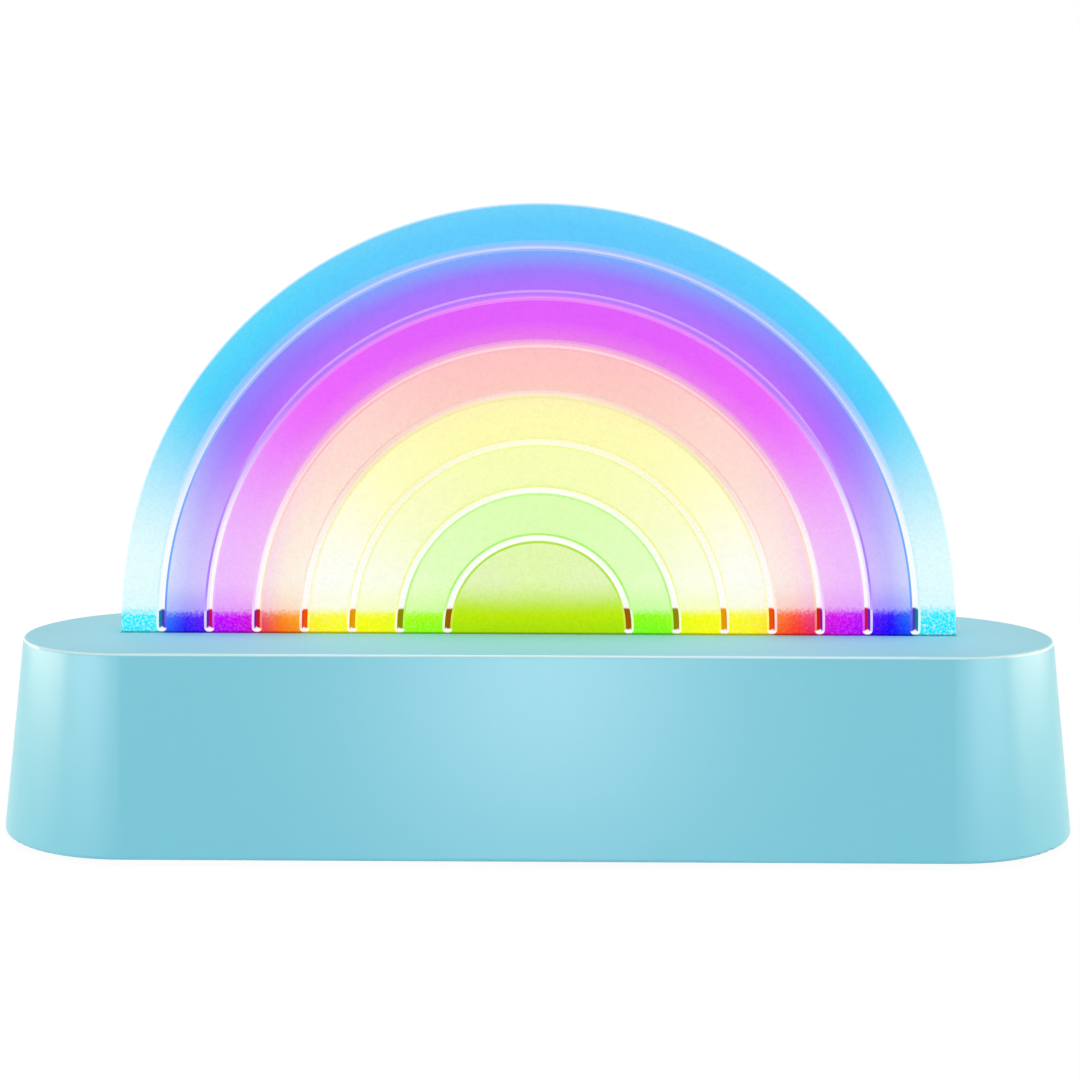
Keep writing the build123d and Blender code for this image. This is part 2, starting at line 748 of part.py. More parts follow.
with BuildPart() as battery_pad:
    with BuildSketch(Plane.XY.offset(cover_top)):
        with Locations((battery_x, 0)):
            Rectangle(battery_length - 2 * battery_edge_radius,
                      battery_width - 2 * battery_edge_radius)
    extrude(amount=pad_thickness)
battery_pad.part.label = "battery_pad"
export_step(battery_pad.part, "parts/battery_pad.step")

front_screw_y = control_y - standoff_span_y / 2
header_front_y = front_screw_y + screw_head_radius + header_to_screw
plug_x = control_left + plug_from_edge
plug_z = control_top + header_wall + plug_height / 2
plug_y = header_front_y + header_wall + header_gap + plug_depth
wire_exit_y = plug_y + wire_run + wire_bend + wire_spacing / 2

with BuildPart() as battery_wires:
    for side in (-1, 1):
        turn = wire_bend + (1 + side) * wire_spacing / 2
        exit_y = wire_exit_y + side * wire_spacing / 2
        entry_x = plug_x + side * wire_spacing / 2
        with BuildLine(Plane.XY.offset(plug_z)):
            FilletPolyline((battery_right, exit_y), (entry_x, exit_y), (entry_x, plug_y),
                           radius=turn)
        with BuildSketch(Plane.YZ.offset(battery_right)):
            with Locations((exit_y, plug_z)):
                Circle(wire_radius)
        sweep()
battery_wires.part.label = "battery_wires"
export_step(battery_wires.part, "parts/battery_wires.step")

with BuildPart() as battery_plug:
    with BuildSketch(back_plane(plug_y)):
        with Locations((plug_x, plug_z)):
            Rectangle(plug_width, plug_height)
    extrude(amount=plug_depth)
    fillet(battery_plug.edges().filter_by(Axis.Y), header_wall / 4)
battery_plug.part.label = "battery_plug"
export_step(battery_plug.part, "parts/battery_plug.step")

# Header on the board: a low shroud that is open above and on the side where the plug goes in
header_inside = plug_width + 2 * header_gap
with BuildPart() as battery_header:
    with BuildSketch(Plane.XY.offset(control_top)):
        with Locations((plug_x, plug_y)):
            Rectangle(header_inside + 2 * header_wall, plug_depth + header_gap + header_wall,
                      align=(Align.CENTER, Align.MAX))
    extrude(amount=header_wall + plug_height * 0.6)
    with BuildSketch(Plane.XY.offset(control_top + header_wall)):
        with Locations((plug_x, plug_y)):
            Rectangle(header_inside, plug_depth + header_gap, align=(Align.CENTER, Align.MAX))
    extrude(amount=plug_height, mode=Mode.SUBTRACT)
battery_header.part.label = "battery_header"
export_step(battery_header.part, "parts/battery_header.step")
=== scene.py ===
"""Rainbow night light: its looks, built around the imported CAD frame.

Sizes in the fields of the classes are millimetres, and meshes are written in metres. The origin is
the middle of the footprint on the table, the front faces -Y and +Z is up, as in the frame.
"""

import logging
from dataclasses import dataclass, field
from enum import Enum
from math import pi, radians
from typing import Any, Mapping, Optional, Sequence, Union

import bmesh
import bpy
import numpy as np
from mathutils import Matrix, Vector

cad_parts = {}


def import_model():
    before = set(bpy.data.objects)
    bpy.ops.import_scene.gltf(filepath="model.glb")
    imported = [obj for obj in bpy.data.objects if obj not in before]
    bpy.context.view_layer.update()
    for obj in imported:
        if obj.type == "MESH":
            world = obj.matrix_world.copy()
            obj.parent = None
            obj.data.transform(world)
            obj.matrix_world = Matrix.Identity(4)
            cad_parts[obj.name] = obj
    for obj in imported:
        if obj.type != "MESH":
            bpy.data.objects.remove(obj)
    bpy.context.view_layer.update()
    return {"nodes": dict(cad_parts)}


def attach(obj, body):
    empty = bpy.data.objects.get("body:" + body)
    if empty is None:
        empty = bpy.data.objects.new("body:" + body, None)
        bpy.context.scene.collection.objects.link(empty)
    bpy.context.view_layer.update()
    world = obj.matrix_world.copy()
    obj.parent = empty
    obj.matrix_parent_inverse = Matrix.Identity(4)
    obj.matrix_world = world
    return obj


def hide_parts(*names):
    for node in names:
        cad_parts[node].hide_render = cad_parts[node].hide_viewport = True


LOG = logging.getLogger("night_light")
MM = 0.001
MERGE_MM = 0.002
WHITE = "#FFFFFF"
BLACK = "#000000"
WARM = "#FFE6CE"
JUST_INSIDE = 0.9999

Colour = tuple[float, float, float, float]
Socket = bpy.types.NodeSocket
Inputs = Mapping[Union[str, int], Any]
Stops = Sequence[tuple[float, Colour]]
Nodes = Mapping[str, bpy.types.Object]
Span = tuple[float, float]
Point = tuple[float, float, float]
Pair = tuple[str, str]


def linear(hex_colour: str) -> Colour:
    """Turns an sRGB colour, as #RRGGBB, into the linear light that the shaders work in."""
    parts = np.array([int(hex_colour[i : i + 2], 16) for i in (1, 3, 5)]) / 255
    light = np.where(parts <= 0.04045, parts / 12.92, ((parts + 0.055) / 1.055) ** 2.4)
    return (float(light[0]), float(light[1]), float(light[2]), 1.0)


def blend(first: str, second: str, share: float) -> str:
    """Mixes a share of the second sRGB colour into the first by eye, in display values."""
    pairs = [(int(first[i : i + 2], 16), int(second[i : i + 2], 16)) for i in (1, 3, 5)]
    return "#" + "".join(f"{round(a + (b - a) * share):02X}" for a, b in pairs)


def fill(tree: bpy.types.NodeTree, node: bpy.types.Node, inputs: Inputs) -> None:
    """Fills a node's inputs: another node's output is linked, and anything else is a value."""
    for key, value in inputs.items():
        if isinstance(value, Socket):
            tree.links.new(value, node.inputs[key])
        else:
            node.inputs[key].default_value = value


def add_node(
    tree: bpy.types.NodeTree,
    kind: str,
    inputs: Optional[Inputs] = None,
    stops: Optional[Stops] = None,
    **settings: Any,
) -> bpy.types.Node:
    """Adds one node, with its settings, its plain values and its links.

    Args:
        tree: The material's or the world's node tree.
        kind: The node's type name.
        inputs: A value, or another node's output to link, for each input's name or number.
        stops: Places and colours for a ramp.
        settings: The node's own properties.

    Returns:
        The new node.
    """
    node = tree.nodes.new(kind)
    for name, value in settings.items():
        setattr(node, name, value)
    fill(tree, node, inputs or {})
    if stops:
        ramp = node.color_ramp.elements
        for _ in range(len(stops) - len(ramp)):
            ramp.new(1.0)
        for element, (place, colour) in zip(ramp, sorted(stops, key=lambda stop: stop[0])):
            element.position = place
            element.color = colour
    return node


def bare_tree(owner: Union[bpy.types.Material, bpy.types.World]) -> bpy.types.NodeTree:
    """Gives a material or the world an empty node tree."""
    owner.use_nodes = True
    owner.node_tree.nodes.clear()
    return owner.node_tree


def add_object(name: str, data: bpy.types.ID) -> bpy.types.Object:
    """Adds a mesh, a light or a camera to the scene."""
    added = bpy.data.objects.new(name, data)
    bpy.context.scene.collection.objects.link(added)
    return added


@dataclass(frozen=True)
class Painter:
    """Lays one node at a time in a tree and gives its output."""

    tree: bpy.types.NodeTree

    def put(self, kind: str, output: Union[str, int], inputs: Inputs, **settings: Any) -> Socket:
        """Adds a node of any kind and gives one of its outputs."""
        return add_node(self.tree, "ShaderNode" + kind, inputs, **settings).outputs[output]

    def math(self, operation: str, *values: Any, clamp: bool = False) -> Socket:
        """Works out one number from others."""
        settings = {"operation": operation, "use_clamp": clamp}
        return self.put("Math", "Value", dict(enumerate(values)), **settings)

    def vector(self, operation: str, *values: Any) -> Socket:
        """Works out one vector from others."""
        return self.put("VectorMath", "Vector", dict(enumerate(values)), operation=operation)

    def length(self, vector: Socket) -> Socket:
        """Measures a vector."""
        return self.put("VectorMath", "Value", {0: vector}, operation="LENGTH")

    def scale(self, vector: Socket, share: Any) -> Socket:
        """Multiplies a colour by one number."""
        return self.put("VectorMath", "Vector", {0: vector, "Scale": share}, operation="SCALE")

    def split(self, vector: Socket) -> tuple[Socket, ...]:
        """Parts a vector or a colour into its three numbers."""
        return tuple(add_node(self.tree, "ShaderNodeSeparateXYZ", {0: vector}).outputs)

    def join(self, *values: Any) -> Socket:
        """Makes a vector of three numbers."""
        return self.put("CombineXYZ", "Vector", dict(enumerate(values)))

    def noise(self, place: Socket, size_mm: float, detail: float, rough: float = 0.5) -> Socket:
        """Lays noise of a grain size."""
        inputs = {"Vector": place, "Scale": 1 / (size_mm * MM), "Detail": detail, "Roughness": rough}
        return self.put("TexNoise", "Fac", inputs)

    def cells(self, place: Socket, size_mm: float) -> Socket:
        """Scatters cells of a size, and gives the distance to the nearest one's heart."""
        return self.put("TexVoronoi", "Distance", {"Vector": place, "Scale": 1 / (size_mm * MM)})

    def remap(
        self, value: Socket, start: float = 0.0, end: float = 1.0, low: Any = 0.0, high: Any = 1.0,
        smooth: bool = False,
    ) -> Socket:
        """Turns the values from start to end into low to high, which hold beyond them.

        Args:
            value: What is mapped.
            start: The value that gives low.
            end: The value that gives high.
            low: A number or another node's output.
            high: A number or another node's output.
            smooth: Whether the change eases in and out.

        Returns:
            The mapped value.
        """
        inputs = {"Value": value, "From Min": start, "From Max": end, "To Min": low, "To Max": high}
        way = "SMOOTHSTEP" if smooth else "LINEAR"
        return self.put("MapRange", "Result", inputs, interpolation_type=way)

    def step(self, value: Socket, start: float, end: float) -> Socket:
        """Gives a smooth step from 0 where the value is at start to 1 where it is at end."""
        return self.remap(value, start, end, smooth=True)

    def mix(self, share: Any, first: Any, second: Any) -> Socket:
        """Mixes two colours by a share. Each is an sRGB colour or another node's output."""
        start, end = (linear(c) if isinstance(c, str) else c for c in (first, second))
        return self.put("Mix", 2, {0: share, 6: start, 7: end}, data_type="RGBA")

    def ramp(self, share: Socket, stops: Stops) -> Socket:
        """Gives the colour that a set of stops has at a share."""
        return self.put("ValToRGB", "Color", {"Fac": share}, stops=stops)

    def relief(self, height: Socket, strength: float, depth_mm: float) -> Socket:
        """Tilts the surface's normal by a height."""
        inputs = {"Height": height, "Strength": strength, "Distance": depth_mm * MM}
        return self.put("Bump", "Normal", inputs)

    def seen(self) -> Socket:
        """Gives 1 to what the camera, a gloss or a clear piece sees, and 0 to light that falls."""
        ray = add_node(self.tree, "ShaderNodeLightPath").outputs
        direct = self.math("ADD", ray["Is Camera Ray"], ray["Is Glossy Ray"])
        return self.math("ADD", direct, ray["Is Transmission Ray"], clamp=True)


@dataclass(frozen=True)
class Finish:
    """What a surface is made of and how it was made. Each kind lays its own nodes in `paint`."""

    name: str

    def material(self) -> bpy.types.Material:
        """Gives the finish's material, which is made once and then shared."""
        made = bpy.data.materials.get(self.name)
        if made is None:
            made = bpy.data.materials.new(self.name)
            tree = bare_tree(made)
            shader = add_node(tree, "ShaderNodeBsdfPrincipled")
            add_node(tree, "ShaderNodeOutputMaterial", {"Surface": shader.outputs["BSDF"]})
            place = add_node(tree, "ShaderNodeTexCoord").outputs["Object"]
            fill(tree, shader, self.paint(Painter(tree), place))
        return made

    def paint(self, lay: Painter, place: Socket) -> Inputs:
        """Lays the nodes that make the finish.

        Args:
            lay: Lays nodes in the material's tree.
            place: Object coordinates, in metres.

        Returns:
            What goes into the inputs of the material's Principled shader.
        """
        raise NotImplementedError


@dataclass(frozen=True)
class Moulded(Finish):
    """Injection-moulded plastic or rubber: an even body colour under a spark-eroded grain.

    What lies above the set matt height, if one is set, is duller, and its paler colour there is painted
    light falling from above; the edge just below it has a pale line that is a painted highlight.
    """

    colour: str = "#808080"
    shade: str = "#707070"
    roughness: Span = (0.4, 0.5)
    grain_mm: float = 0.35
    grain_depth_mm: float = 0.01
    drift_mm: float = 30.0
    ior: float = 1.53
    specular: float = 0.5
    sheen: float = 0.0
    coat: float = 0.0
    clear: float = 0.0
    matt_and_painted_light_above_mm: float = 0.0
    matt_roughness: float = 0.7
    roof_colour_with_painted_light: str = "#93D7E7"
    painted_edge_highlight_colour: str = "#CDEAEC"

    def paint(self, lay: Painter, place: Socket) -> Inputs:
        """Lays a slow drift of the body colour and a fine grain that breaks up the gloss."""
        grain = lay.noise(place, self.grain_mm, 3.0, 0.6)
        tint = lay.mix(lay.noise(place, self.drift_mm, 2.0), self.colour, self.shade)
        gloss = lay.remap(grain, 0.3, 0.7, *self.roughness)
        # Over the set height the gloss is duller (real), the colour paler as painted light from above, and
        # a thin band just below it takes a painted highlight.
        if self.matt_and_painted_light_above_mm:
            height = lay.split(place)[2]
            top = self.matt_and_painted_light_above_mm
            spans = ((top - 0.1, top), (top - 0.5, top - 0.25), (top, top - 0.15))
            roof, rise, fall = (lay.step(height, low * MM, high * MM) for low, high in spans)
            gloss = lay.remap(roof, low=gloss, high=self.matt_roughness)
            tint = lay.mix(roof, tint, self.roof_colour_with_painted_light)
            tint = lay.mix(lay.math("MULTIPLY", rise, fall), tint, self.painted_edge_highlight_colour)
        return {
            "Base Color": tint,
            "Roughness": gloss,
            "Normal": lay.relief(grain, 0.6, self.grain_depth_mm),
            "IOR": self.ior,
            "Specular IOR Level": self.specular,
            "Sheen Weight": self.sheen,
            "Coat Weight": self.coat,
            "Coat Roughness": 0.3,
            "Transmission Weight": self.clear,
        }


@dataclass(frozen=True)
class RolledMetal(Finish):
    """Rolled or cold-formed metal: fine lines drawn out along the way that it was worked."""

    colour: str = "#C8C8CC"
    roughness: Span = (0.2, 0.35)
    line_mm: float = 0.12
    stretch: Point = (1.0, 1.0, 1.0)

    def paint(self, lay: Painter, place: Socket) -> Inputs:
        """Lays lines by a noise that is stretched along one way, and roughens the gloss by them."""
        lines = lay.noise(lay.vector("MULTIPLY", place, self.stretch), self.line_mm, 4.0, 0.65)
        low, high = self.roughness
        return {
            "Base Color": lay.mix(lines, self.colour, blend(self.colour, "#202024", 0.25)),
            "Roughness": lay.remap(lines, low=low, high=high),
            "Normal": lay.relief(lines, 0.3, 0.004),
            "Metallic": 1.0,
        }


@dataclass(frozen=True)
class CircuitBoard(Finish):
    """Glass-epoxy board: solder mask over raised copper tracks, and tinned vias."""

    mask: str = "#0E5A34"
    track: str = "#1C7A48"
    tin: str = "#C9C6BC"
    track_pitch_mm: float = 1.6
    via_pitch_mm: float = 3.4
    copper_mm: float = 0.035

    def paint(self, lay: Painter, place: Socket) -> Inputs:
        """Lays staggered runs of track, as bricks' joints, and vias as the hearts of cells."""
        pitch = self.track_pitch_mm * MM
        black = linear(BLACK)
        inputs = {
            "Vector": place, "Scale": 1.0, "Brick Width": 6.5 * pitch, "Row Height": pitch,
            "Color1": black, "Color2": black, "Mortar": linear(WHITE), "Mortar Smooth": 0.1,
            "Mortar Size": 0.14 * pitch,
        }
        runs = lay.put("TexBrick", "Color", inputs, offset=0.37)
        via = lay.remap(lay.cells(place, self.via_pitch_mm), 0.1, 0.07)
        return {
            "Base Color": lay.mix(via, lay.mix(runs, self.mask, self.track), self.tin),
            "Roughness": lay.remap(lay.noise(place, 0.5, 2.0), low=0.28, high=0.42),
            "Normal": lay.relief(runs, 0.5, self.copper_mm),
            "IOR": 1.5,
        }


@dataclass(frozen=True)
class CellFoam(Finish):
    """Cut closed-cell foam: a dull surface of small open pits."""

    colour: str = "#2A2A2C"
    pit_mm: float = 0.45

    def paint(self, lay: Painter, place: Socket) -> Inputs:
        """Lays pits, with painted shade that darkens towards the heart of each cell."""
        pits = lay.cells(place, self.pit_mm)
        return {
            "Base Color": lay.mix(pits, blend(self.colour, BLACK, 0.6), self.colour),
            "Normal": lay.relief(pits, 1.0, 0.12),
            "Roughness": 0.9,
        }


@dataclass(frozen=True)
class RibbonFilm(Finish):
    """Laminated film of a flat cable: pale tape with the tinned strips showing through it."""

    film: str = "#E9E7DF"
    strip: str = "#B9B7B2"
    pitch_mm: float = 1.0

    def paint(self, lay: Painter, place: Socket) -> Inputs:
        """Lays strips across X by the distance to the nearest one's middle, folded each pitch."""
        pitch = self.pitch_mm * MM
        folded = lay.math("PINGPONG", lay.split(place)[0], pitch / 2)
        strip = lay.remap(folded, pitch * 0.2, pitch * 0.3)
        return {
            "Base Color": lay.mix(strip, self.film, self.strip),
            "Normal": lay.relief(strip, 0.5, 0.05),
            "Roughness": 0.35,
        }


@dataclass(frozen=True)
class PairedWires(Finish):
    """Extruded vinyl covers of a two-wire lead: red outside its bend and black inside."""

    outer: str = "#C42020"
    inner: str = "#1A1A1C"
    bend_centre_mm: Span = (0.0, 0.0)
    bend_radius_mm: float = 5.0

    def paint(self, lay: Painter, place: Socket) -> Inputs:
        """Parts the wires by the line midway between them.

        The line is level with the bend's outside on both runs and a quarter circle between them,
        so the length of the place past the bend's centre, never less than zero, tells the side.
        """
        x, y = self.bend_centre_mm
        past = lay.vector("SUBTRACT", place, (x * MM, y * MM, 0.0))
        flat = lay.vector("MULTIPLY", past, (1.0, 1.0, 0.0))
        reach = lay.length(lay.vector("MAXIMUM", flat, (0.0, 0.0, 0.0)))
        outside = lay.math("GREATER_THAN", reach, self.bend_radius_mm * MM)
        return {
            "Base Color": lay.mix(outside, self.inner, self.outer),
            "Roughness": lay.remap(lay.noise(place, 0.4, 2.0), low=0.3, high=0.5),
        }


class Surface(Enum):
    """The surfaces of the light guide, which each let out the light in their own way."""

    FACE = 0
    EDGE = 1
    WALL = 2
    WEB = 3
    RIM = 4


@dataclass(frozen=True)
class Band:
    """One arch of the light guide and how it glows.

    left and right are its lamps' colours, flank and glow its colours half way up and at the crown,
    veil the share of white over a lamp's colour above the lit foot, reach the sine of the turn at
    which half of the flank's colour is there, sparkle the share of white glints in the foot and
    halo that of the lamp's colour that rises past it. The leaks are the shares that come over from
    the next arch inwards and outwards, at the foot, the flank and the crown.
    """

    left: str
    right: str
    flank: str
    glow: str
    veil: float
    reach: float
    sparkle: float
    halo: float
    foot_leak: Span = (0.0, 0.0)
    flank_leak: Span = (0.0, 0.0)
    crown_leak: Span = (0.0, 0.0)


@dataclass(frozen=True)
class Groove:
    """One groove's tones, as the inner and the outer of each pair.

    The first pair is painted shade: darker tones on its web and its outer wall in the lit foot, where
    shade falls in the groove. web is its web at the crown. leg and crown are the soft edges on either
    side of it, low in the arch's legs and at the crown.
    """

    mark: Pair
    web: Pair
    leg: Pair
    crown: Pair


# Both tables run from the half disc out.
BANDS = (
    Band("#BEE800", "#BEE800", "#E4F6B8", "#E2F8AE", 0.42, 0.3, 0.02, 1.0, (0.0, 0.12)),
    Band("#A8FE00", "#94FE00", "#E2FFBC", "#DEFFB4", 0.8, 0.4, 0.1, 0.45, (0.05, 0.1)),
    Band("#F8FE16", "#F8FE0C", "#FAFEC4", "#F7FEB7", 0.91, 0.5, 0.08, 0.36, (0.1, 0.1)),
    Band("#FEFC30", "#FEFB28", "#FFFEBE", "#FEFCB2", 0.95, 0.52, 0.16, 0.2,
         (0.05, 0.1), (0.0, 0.0), (0.0, 0.15)),
    Band("#FE8E24", "#FE543C", "#FED8D0", "#FEC7C3", 0.86, 0.5, 0.06, 0.3,
         (0.3, 0.42), (0.12, 0.0), (0.1, 0.04)),
    Band("#D004FB", "#D20CF8", "#EC68FE", "#E360FE", 0.73, 0.48, 0.06, 0.3,
         (0.16, 0.15), (0.24, 0.0), (0.32, 0.04)),
    Band("#4834F8", "#3012FC", "#A375FE", "#A07CFE", 0.72, 0.38, 0.03, 0.4,
         (0.34, 0.45), (0.42, 0.2), (0.35, 0.66)),
    Band("#28F0FE", "#10ECFE", "#50D5FD", "#60CDFE", 0.87, 0.37, 0.6, 0.1,
         (0.0, 0.0), (0.16, 0.1), (0.05, 0.12)),
)
# The first pair of each groove is painted shade in the lit foot.
GROOVES = (
    Groove(("#A06000", "#7A7C00"), ("#FEFDFF", "#F6FCF0"), ("#B4E84A", "#A8F860"), ("#B4E44A", "#B0F868")),
    Groove(("#8C9000", "#A88800"), ("#FDFCF8", "#F9FCE4"), ("#B8F88A", "#F4FAAE"), ("#C8FC98", "#F0FA9C")),
    Groove(("#E8A000", "#D89000"), ("#FBF9E4", "#FBF9D8"), ("#F8FCC0", "#FFFDC8"), ("#F5FCA6", "#FDF8AC")),
    Groove(("#F05808", "#D84818"), ("#FAE9CC", "#F9DACF"), ("#FFFBD0", "#FFEFDC"), ("#F6EEAA", "#F8CFCA")),
    Groove(("#D02010", "#8A10B8"), ("#FEDCDE", "#F4B8D8"), ("#FFE4C4", "#F4C8FC"), ("#FDBCC8", "#ECA0E8")),
    Groove(("#D0144C", "#6A18D0"), ("#F098FE", "#B87CFA"), ("#F4C0FE", "#B084FC"), ("#EC84FC", "#D4A0FC")),
    Groove(("#3C4CB0", "#1C80A0"), ("#DCDCFF", "#9CC4FC"), ("#6CACFE", "#D4F6FE"), ("#98BCFE", "#84CAFE")),
)


@dataclass(frozen=True)
class GuideShape:
    """The light guide's sizes, which its mesh and its glow share. Radii are from the arches' centre."""

    radius: float = 70.0
    thickness: float = 5.0
    centre_height: float = 34.0
    base_top: float = 33.0
    foot_top: float = 37.05
    first_groove: float = 15.2
    pitch: float = 8.0
    groove_width: float = 0.95
    web: float = 1.0
    groove_edge: float = 0.38
    edge_sink: float = 0.12
    rim_edge: float = 0.3
    rim_fade: Span = (30.4, 31.5)
    tongue_bottom: float = 25.0
    ear_top: float = 29.8
    ear_half: float = 73.0

    def groove_radii(self) -> np.ndarray:
        """Gives the middle radius of each groove, from the innermost out."""
        return self.first_groove + self.pitch * np.arange(len(GROOVES))

    def band_edges(self) -> list[Span]:
        """Gives the inner and the outer radius of each band, from the half disc out."""
        radii = self.groove_radii()
        half = self.groove_width / 2
        return list(zip([0.0, *(radii + half)], [*(radii - half), self.radius]))

    def band_stops(self, colours: Sequence[str], leaks: Sequence[Span]) -> Stops:
        """Spreads one colour per band over the radius, with what leaks in from the next bands.

        Args:
            colours: One colour per band, from the half disc out.
            leaks: For each band, the shares that come over from inwards and from outwards, where
                white comes over the rim.

        Returns:
            Stops at the inner edge, the middle and the outer edge of each band.
        """
        stops = []
        beside = [colours[0], *colours, WHITE]
        for k, (low, high) in enumerate(self.band_edges()):
            inward = blend(colours[k], beside[k], leaks[k][0])
            outward = blend(colours[k], beside[k + 2], leaks[k][1])
            stops += [
                (low / self.radius, linear(inward)),
                ((low + high) / 2 / self.radius, linear(colours[k])),
                (high / self.radius * JUST_INSIDE, linear(outward)),
            ]
        return stops

    def groove_stops(self, colours: Sequence[Pair], apart: float) -> Stops:
        """Spreads an inner and an outer colour per groove over the radius.

        Args:
            colours: The two colours of each groove.
            apart: The distance between the two colours' places.

        Returns:
            Two stops per groove, evenly about its middle.
        """
        return [
            ((radius + side * apart / 2) / self.radius, linear(colour))
            for radius, pair in zip(self.groove_radii(), colours)
            for side, colour in zip((-1, 1), pair)
        ]


GUIDE = GuideShape()


@dataclass(frozen=True)
class GlowingAcrylic(Finish):
    """Moulded acrylic, finely frosted so that light fed into its foot leaves it over each arch.

    The glow is a colour by the radius from the arches' centre. At the foot it is the lamp's own
    colour, then it is veiled with white, and it deepens again by the sine of the turn round the
    arch. The frosting shows as fine grain, in the light as in the gloss. The spans are of that
    sine, but for flank_span, which is of its share of the band's reach.
    """

    surface: Surface = Surface.FACE
    light: float = 0.82
    body: float = 0.2
    grain_mm: float = 0.45
    speck_mm: float = 0.5
    foot_grain_mm: float = 2.4
    groove_grain_mm: float = 0.2
    foot_lean: float = 0.0065
    sides_meet_mm: float = 12.0
    flank_span: Span = (0.4, 1.6)
    crown_span: Span = (0.72, 0.99)
    web_span: Span = (0.2, 0.75)
    edge_span: Span = (0.15, 0.7)
    web_tones_mm: float = 0.16
    # How far apart the painted shade's inner and outer tones lie about each groove.
    painted_shades_mm: float = 1.0
    wall_share: float = 0.45
    rim_white: float = 0.35
    base_shadow: float = 0.4
    root_gamma: float = 1.4

    def paint(self, lay: Painter, place: Socket) -> Inputs:
        """Lays the glow as light given off, over a dim body of the same colour."""
        glow = self.glow(lay, place)
        grain = lay.noise(place, self.grain_mm, 2.0, 0.7)
        return {
            "Emission Color": lay.scale(glow, lay.remap(grain, 0.25, 0.75, 0.93, 1.07)),
            "Emission Strength": self.light,
            "Base Color": lay.scale(glow, self.body),
            "Roughness": lay.remap(grain, low=0.3, high=0.6),
            "Normal": lay.relief(grain, 0.4, 0.01),
            "IOR": 1.49,
            "Specular IOR Level": 0.02,
        }

    def glow(self, lay: Painter, place: Socket) -> Socket:
        """Works out the glow's colour.

        The radius is the length of (x, 0, height over the arches' centre, never below zero), and
        the turn is that height over the radius, which is the sine of the angle round the arch.

        Args:
            lay: Lays nodes in the material's tree.
            place: Object coordinates, in metres.

        Returns:
            The colour's output.
        """
        x, _, height = lay.split(place)
        rise = lay.math("MAXIMUM", lay.math("SUBTRACT", height, GUIDE.centre_height * MM), 0.0)
        radius = lay.length(lay.join(x, 0.0, rise))
        share = lay.math("DIVIDE", radius, GUIDE.radius * MM)
        turn = lay.math("DIVIDE", rise, radius, clamp=True)
        habit = [
            (radius_at / GUIDE.radius * JUST_INSIDE, (b.reach, b.sparkle, b.halo, 1.0))
            for b, edges in zip(BANDS, GUIDE.band_edges())
            for radius_at in edges
        ]
        reach, sparkle, halo = lay.split(lay.ramp(share, habit))
        foot_leaks = [b.foot_leak for b in BANDS]
        side = lay.step(x, -self.sides_meet_mm * MM, self.sides_meet_mm * MM)
        lamps = [[b.left for b in BANDS], [b.right for b in BANDS]]
        veils = [[blend(c, WHITE, b.veil) for c, b in zip(row, BANDS)] for row in lamps]
        lamp, veiled = (
            lay.mix(side, *(lay.ramp(share, GUIDE.band_stops(row, foot_leaks)) for row in rows))
            for rows in (lamps, veils)
        )
        flank_stops = GUIDE.band_stops([b.flank for b in BANDS], [b.flank_leak for b in BANDS])
        crown_stops = GUIDE.band_stops([b.glow for b in BANDS], [b.crown_leak for b in BANDS])
        risen = lay.step(lay.math("DIVIDE", turn, reach), *self.flank_span)
        lower = lay.mix(risen, veiled, lay.ramp(share, flank_stops))
        arch = lay.mix(lay.step(turn, *self.crown_span), lower, lay.ramp(share, crown_stops))
        if self.surface in (Surface.WEB, Surface.WALL):
            # A groove's web and wall take painted shade in the lit foot in place of the lamp's colour.
            arch, lamp = self.groove_tones(lay, share, turn, arch)
        elif self.surface is Surface.EDGE:
            arch, lamp = self.edge_tones(lay, share, turn)
        elif self.surface is Surface.RIM:
            arch = lay.mix(self.rim_white, arch, WHITE)
        if self.surface in (Surface.WALL, Surface.EDGE):
            centre = GUIDE.centre_height
            lamp = lay.mix(lay.step(height, (centre - 0.1) * MM, (centre - 0.4) * MM), lamp, WHITE)
        foot = self.lit_foot(lay, place, arch, lamp, (sparkle, halo))
        start, end = (GUIDE.base_top + 0.12) * MM, (GUIDE.base_top + 0.42) * MM
        return lay.scale(foot, lay.remap(height, start, end, low=self.base_shadow, smooth=True))

    def groove_tones(
        self, lay: Painter, share: Socket, turn: Socket, arch: Socket
    ) -> tuple[Socket, Socket]:
        """Gives the tones of a groove's web or wall in the arch, and the painted shade it takes in the lit
        foot.
        """
        on_wall = self.surface is Surface.WALL
        tones = lay.ramp(share, GUIDE.groove_stops([g.web for g in GROOVES], self.web_tones_mm))
        pale = lay.mix(lay.step(turn, *self.web_span), "#FDFCFB", tones)
        # Painted shade: darker tones where shade falls in the groove, for the web and the outer wall.
        painted_shades = [(g.mark[int(on_wall)],) * 2 for g in GROOVES]
        mark = lay.ramp(share, GUIDE.groove_stops(painted_shades, self.painted_shades_mm))
        return lay.mix(self.wall_share if on_wall else 0.0, pale, arch), mark

    def edge_tones(self, lay: Painter, share: Socket, turn: Socket) -> tuple[Socket, Socket]:
        """Gives the tones of a groove's soft edges in the arch and in the lit foot."""
        lit = [
            (blend(b.right, WHITE, 0.3), blend(c.right, WHITE, 0.85))
            for b, c in zip(BANDS, BANDS[1:])
        ]
        legs, tops, lamp = (
            lay.ramp(share, GUIDE.groove_stops(pairs, GUIDE.groove_width))
            for pairs in ([g.leg for g in GROOVES], [g.crown for g in GROOVES], lit)
        )
        return lay.mix(lay.step(turn, *self.edge_span), legs, tops), lamp

